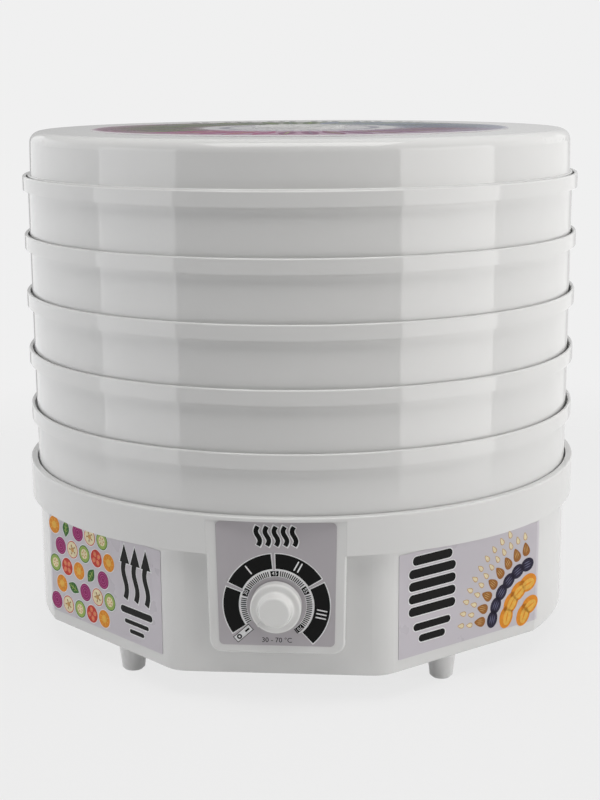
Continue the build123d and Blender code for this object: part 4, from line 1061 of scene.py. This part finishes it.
def floor_finish():
    """Pale floor that keeps a soft shadow and fades into the backdrop."""
    material = bpy.data.materials.new("floor")
    material.use_nodes = True
    tree = material.node_tree
    shader = tree.nodes["Principled BSDF"]
    shader.inputs["Base Color"].default_value = FLOOR_COLOUR
    shader.inputs["Roughness"].default_value = FLOOR_ROUGHNESS
    glow = tree.nodes.new("ShaderNodeEmission")
    glow.inputs["Color"].default_value = BACKDROP
    share = tree.nodes.new("ShaderNodeMath")
    share.operation = "MULTIPLY"
    share.inputs[1].default_value = 1.0 - FLOOR_SHADING
    tree.links.new(seen_ray(tree), share.inputs[0])
    lit = mix_shaders(tree, share.outputs["Value"], shader.outputs["BSDF"], glow.outputs["Emission"])
    coords = tree.nodes.new("ShaderNodeTexCoord")
    length = tree.nodes.new("ShaderNodeVectorMath")
    length.operation = "LENGTH"
    tree.links.new(coords.outputs["Object"], length.inputs[0])
    fade = smooth_step(tree, length.outputs["Value"], FLOOR_FADE)
    clear = tree.nodes.new("ShaderNodeBsdfTransparent")
    faded = mix_shaders(tree, fade, lit, clear.outputs["BSDF"])
    tree.links.new(faded, tree.nodes["Material Output"].inputs["Surface"])
    return material


def add_floor():
    """Round floor under the object."""
    shapes = bmesh.new()
    bmesh.ops.create_circle(shapes, cap_ends=True, segments=FLOOR_SIDES, radius=FLOOR_RADIUS)
    mesh = bpy.data.meshes.new("floor")
    shapes.to_mesh(mesh)
    shapes.free()
    mesh.materials.append(floor_finish())
    floor = bpy.data.objects.new("floor", mesh)
    bpy.context.collection.objects.link(floor)


def add_softbox(name, azimuth, distance, size, power, colour, height=SIDE_LAMP_HEIGHT, aim=SIDE_LAMP_HEIGHT):
    """Soft rectangular lamp that faces a point on the object's axis."""
    data = bpy.data.lights.new(name, "AREA")
    data.shape = "RECTANGLE"
    data.size, data.size_y = size
    data.energy = power
    data.color = colour
    lamp = bpy.data.objects.new(name, data)
    bpy.context.collection.objects.link(lamp)
    lamp.location = (distance * sin(azimuth), -distance * cos(azimuth), height)
    lamp.rotation_euler = (UP * aim - lamp.location).to_track_quat("-Z", "Y").to_euler()


def add_camera():
    """Camera at the photograph's viewing angle."""
    data = bpy.data.cameras.new("camera")
    data.lens = LENS
    data.sensor_width = SENSOR
    camera = bpy.data.objects.new("camera", data)
    bpy.context.collection.objects.link(camera)
    around = Matrix.Rotation(CAMERA_AZIMUTH, 4, "Z")
    stand = Matrix.Translation((0.0, -CAMERA_DISTANCE, CAMERA_HEIGHT))
    yaw = Matrix.Rotation(CAMERA_YAW, 4, "Z")
    pitch = Matrix.Rotation(pi / 2 - CAMERA_PITCH, 4, "X")
    roll = Matrix.Rotation(CAMERA_ROLL, 4, "Z")
    camera.matrix_world = around @ stand @ yaw @ pitch @ roll
    bpy.context.scene.camera = camera


draw_dial_plate()
draw_left_plate()
draw_right_plate()
draw_lid_ring()
for name in sorted(nodes):
    if name.startswith("tray_") and name.endswith("_net"):
        add_ribs(name)
add_world()
add_floor()
add_camera()
add_softbox("left_softbox", LEFT_AZIMUTH, LEFT_DISTANCE, LEFT_SIZE, LEFT_POWER, COOL_LIGHT)
add_softbox("right_softbox", RIGHT_AZIMUTH, RIGHT_DISTANCE, RIGHT_SIZE, RIGHT_POWER, WARM_LIGHT)
add_softbox("left_wing", LEFT_WING_AZIMUTH, LEFT_DISTANCE, WING_SIZE, LEFT_WING_POWER, COOL_LIGHT)
add_softbox("right_wing", RIGHT_WING_AZIMUTH, RIGHT_DISTANCE, WING_SIZE, RIGHT_WING_POWER, WARM_LIGHT)
add_softbox("top_softbox", TOP_AZIMUTH, TOP_DISTANCE, TOP_SIZE, TOP_POWER, WARM_LIGHT, TOP_HEIGHT, TOP_AIM)
bpy.context.scene.view_settings.view_transform = "Standard"
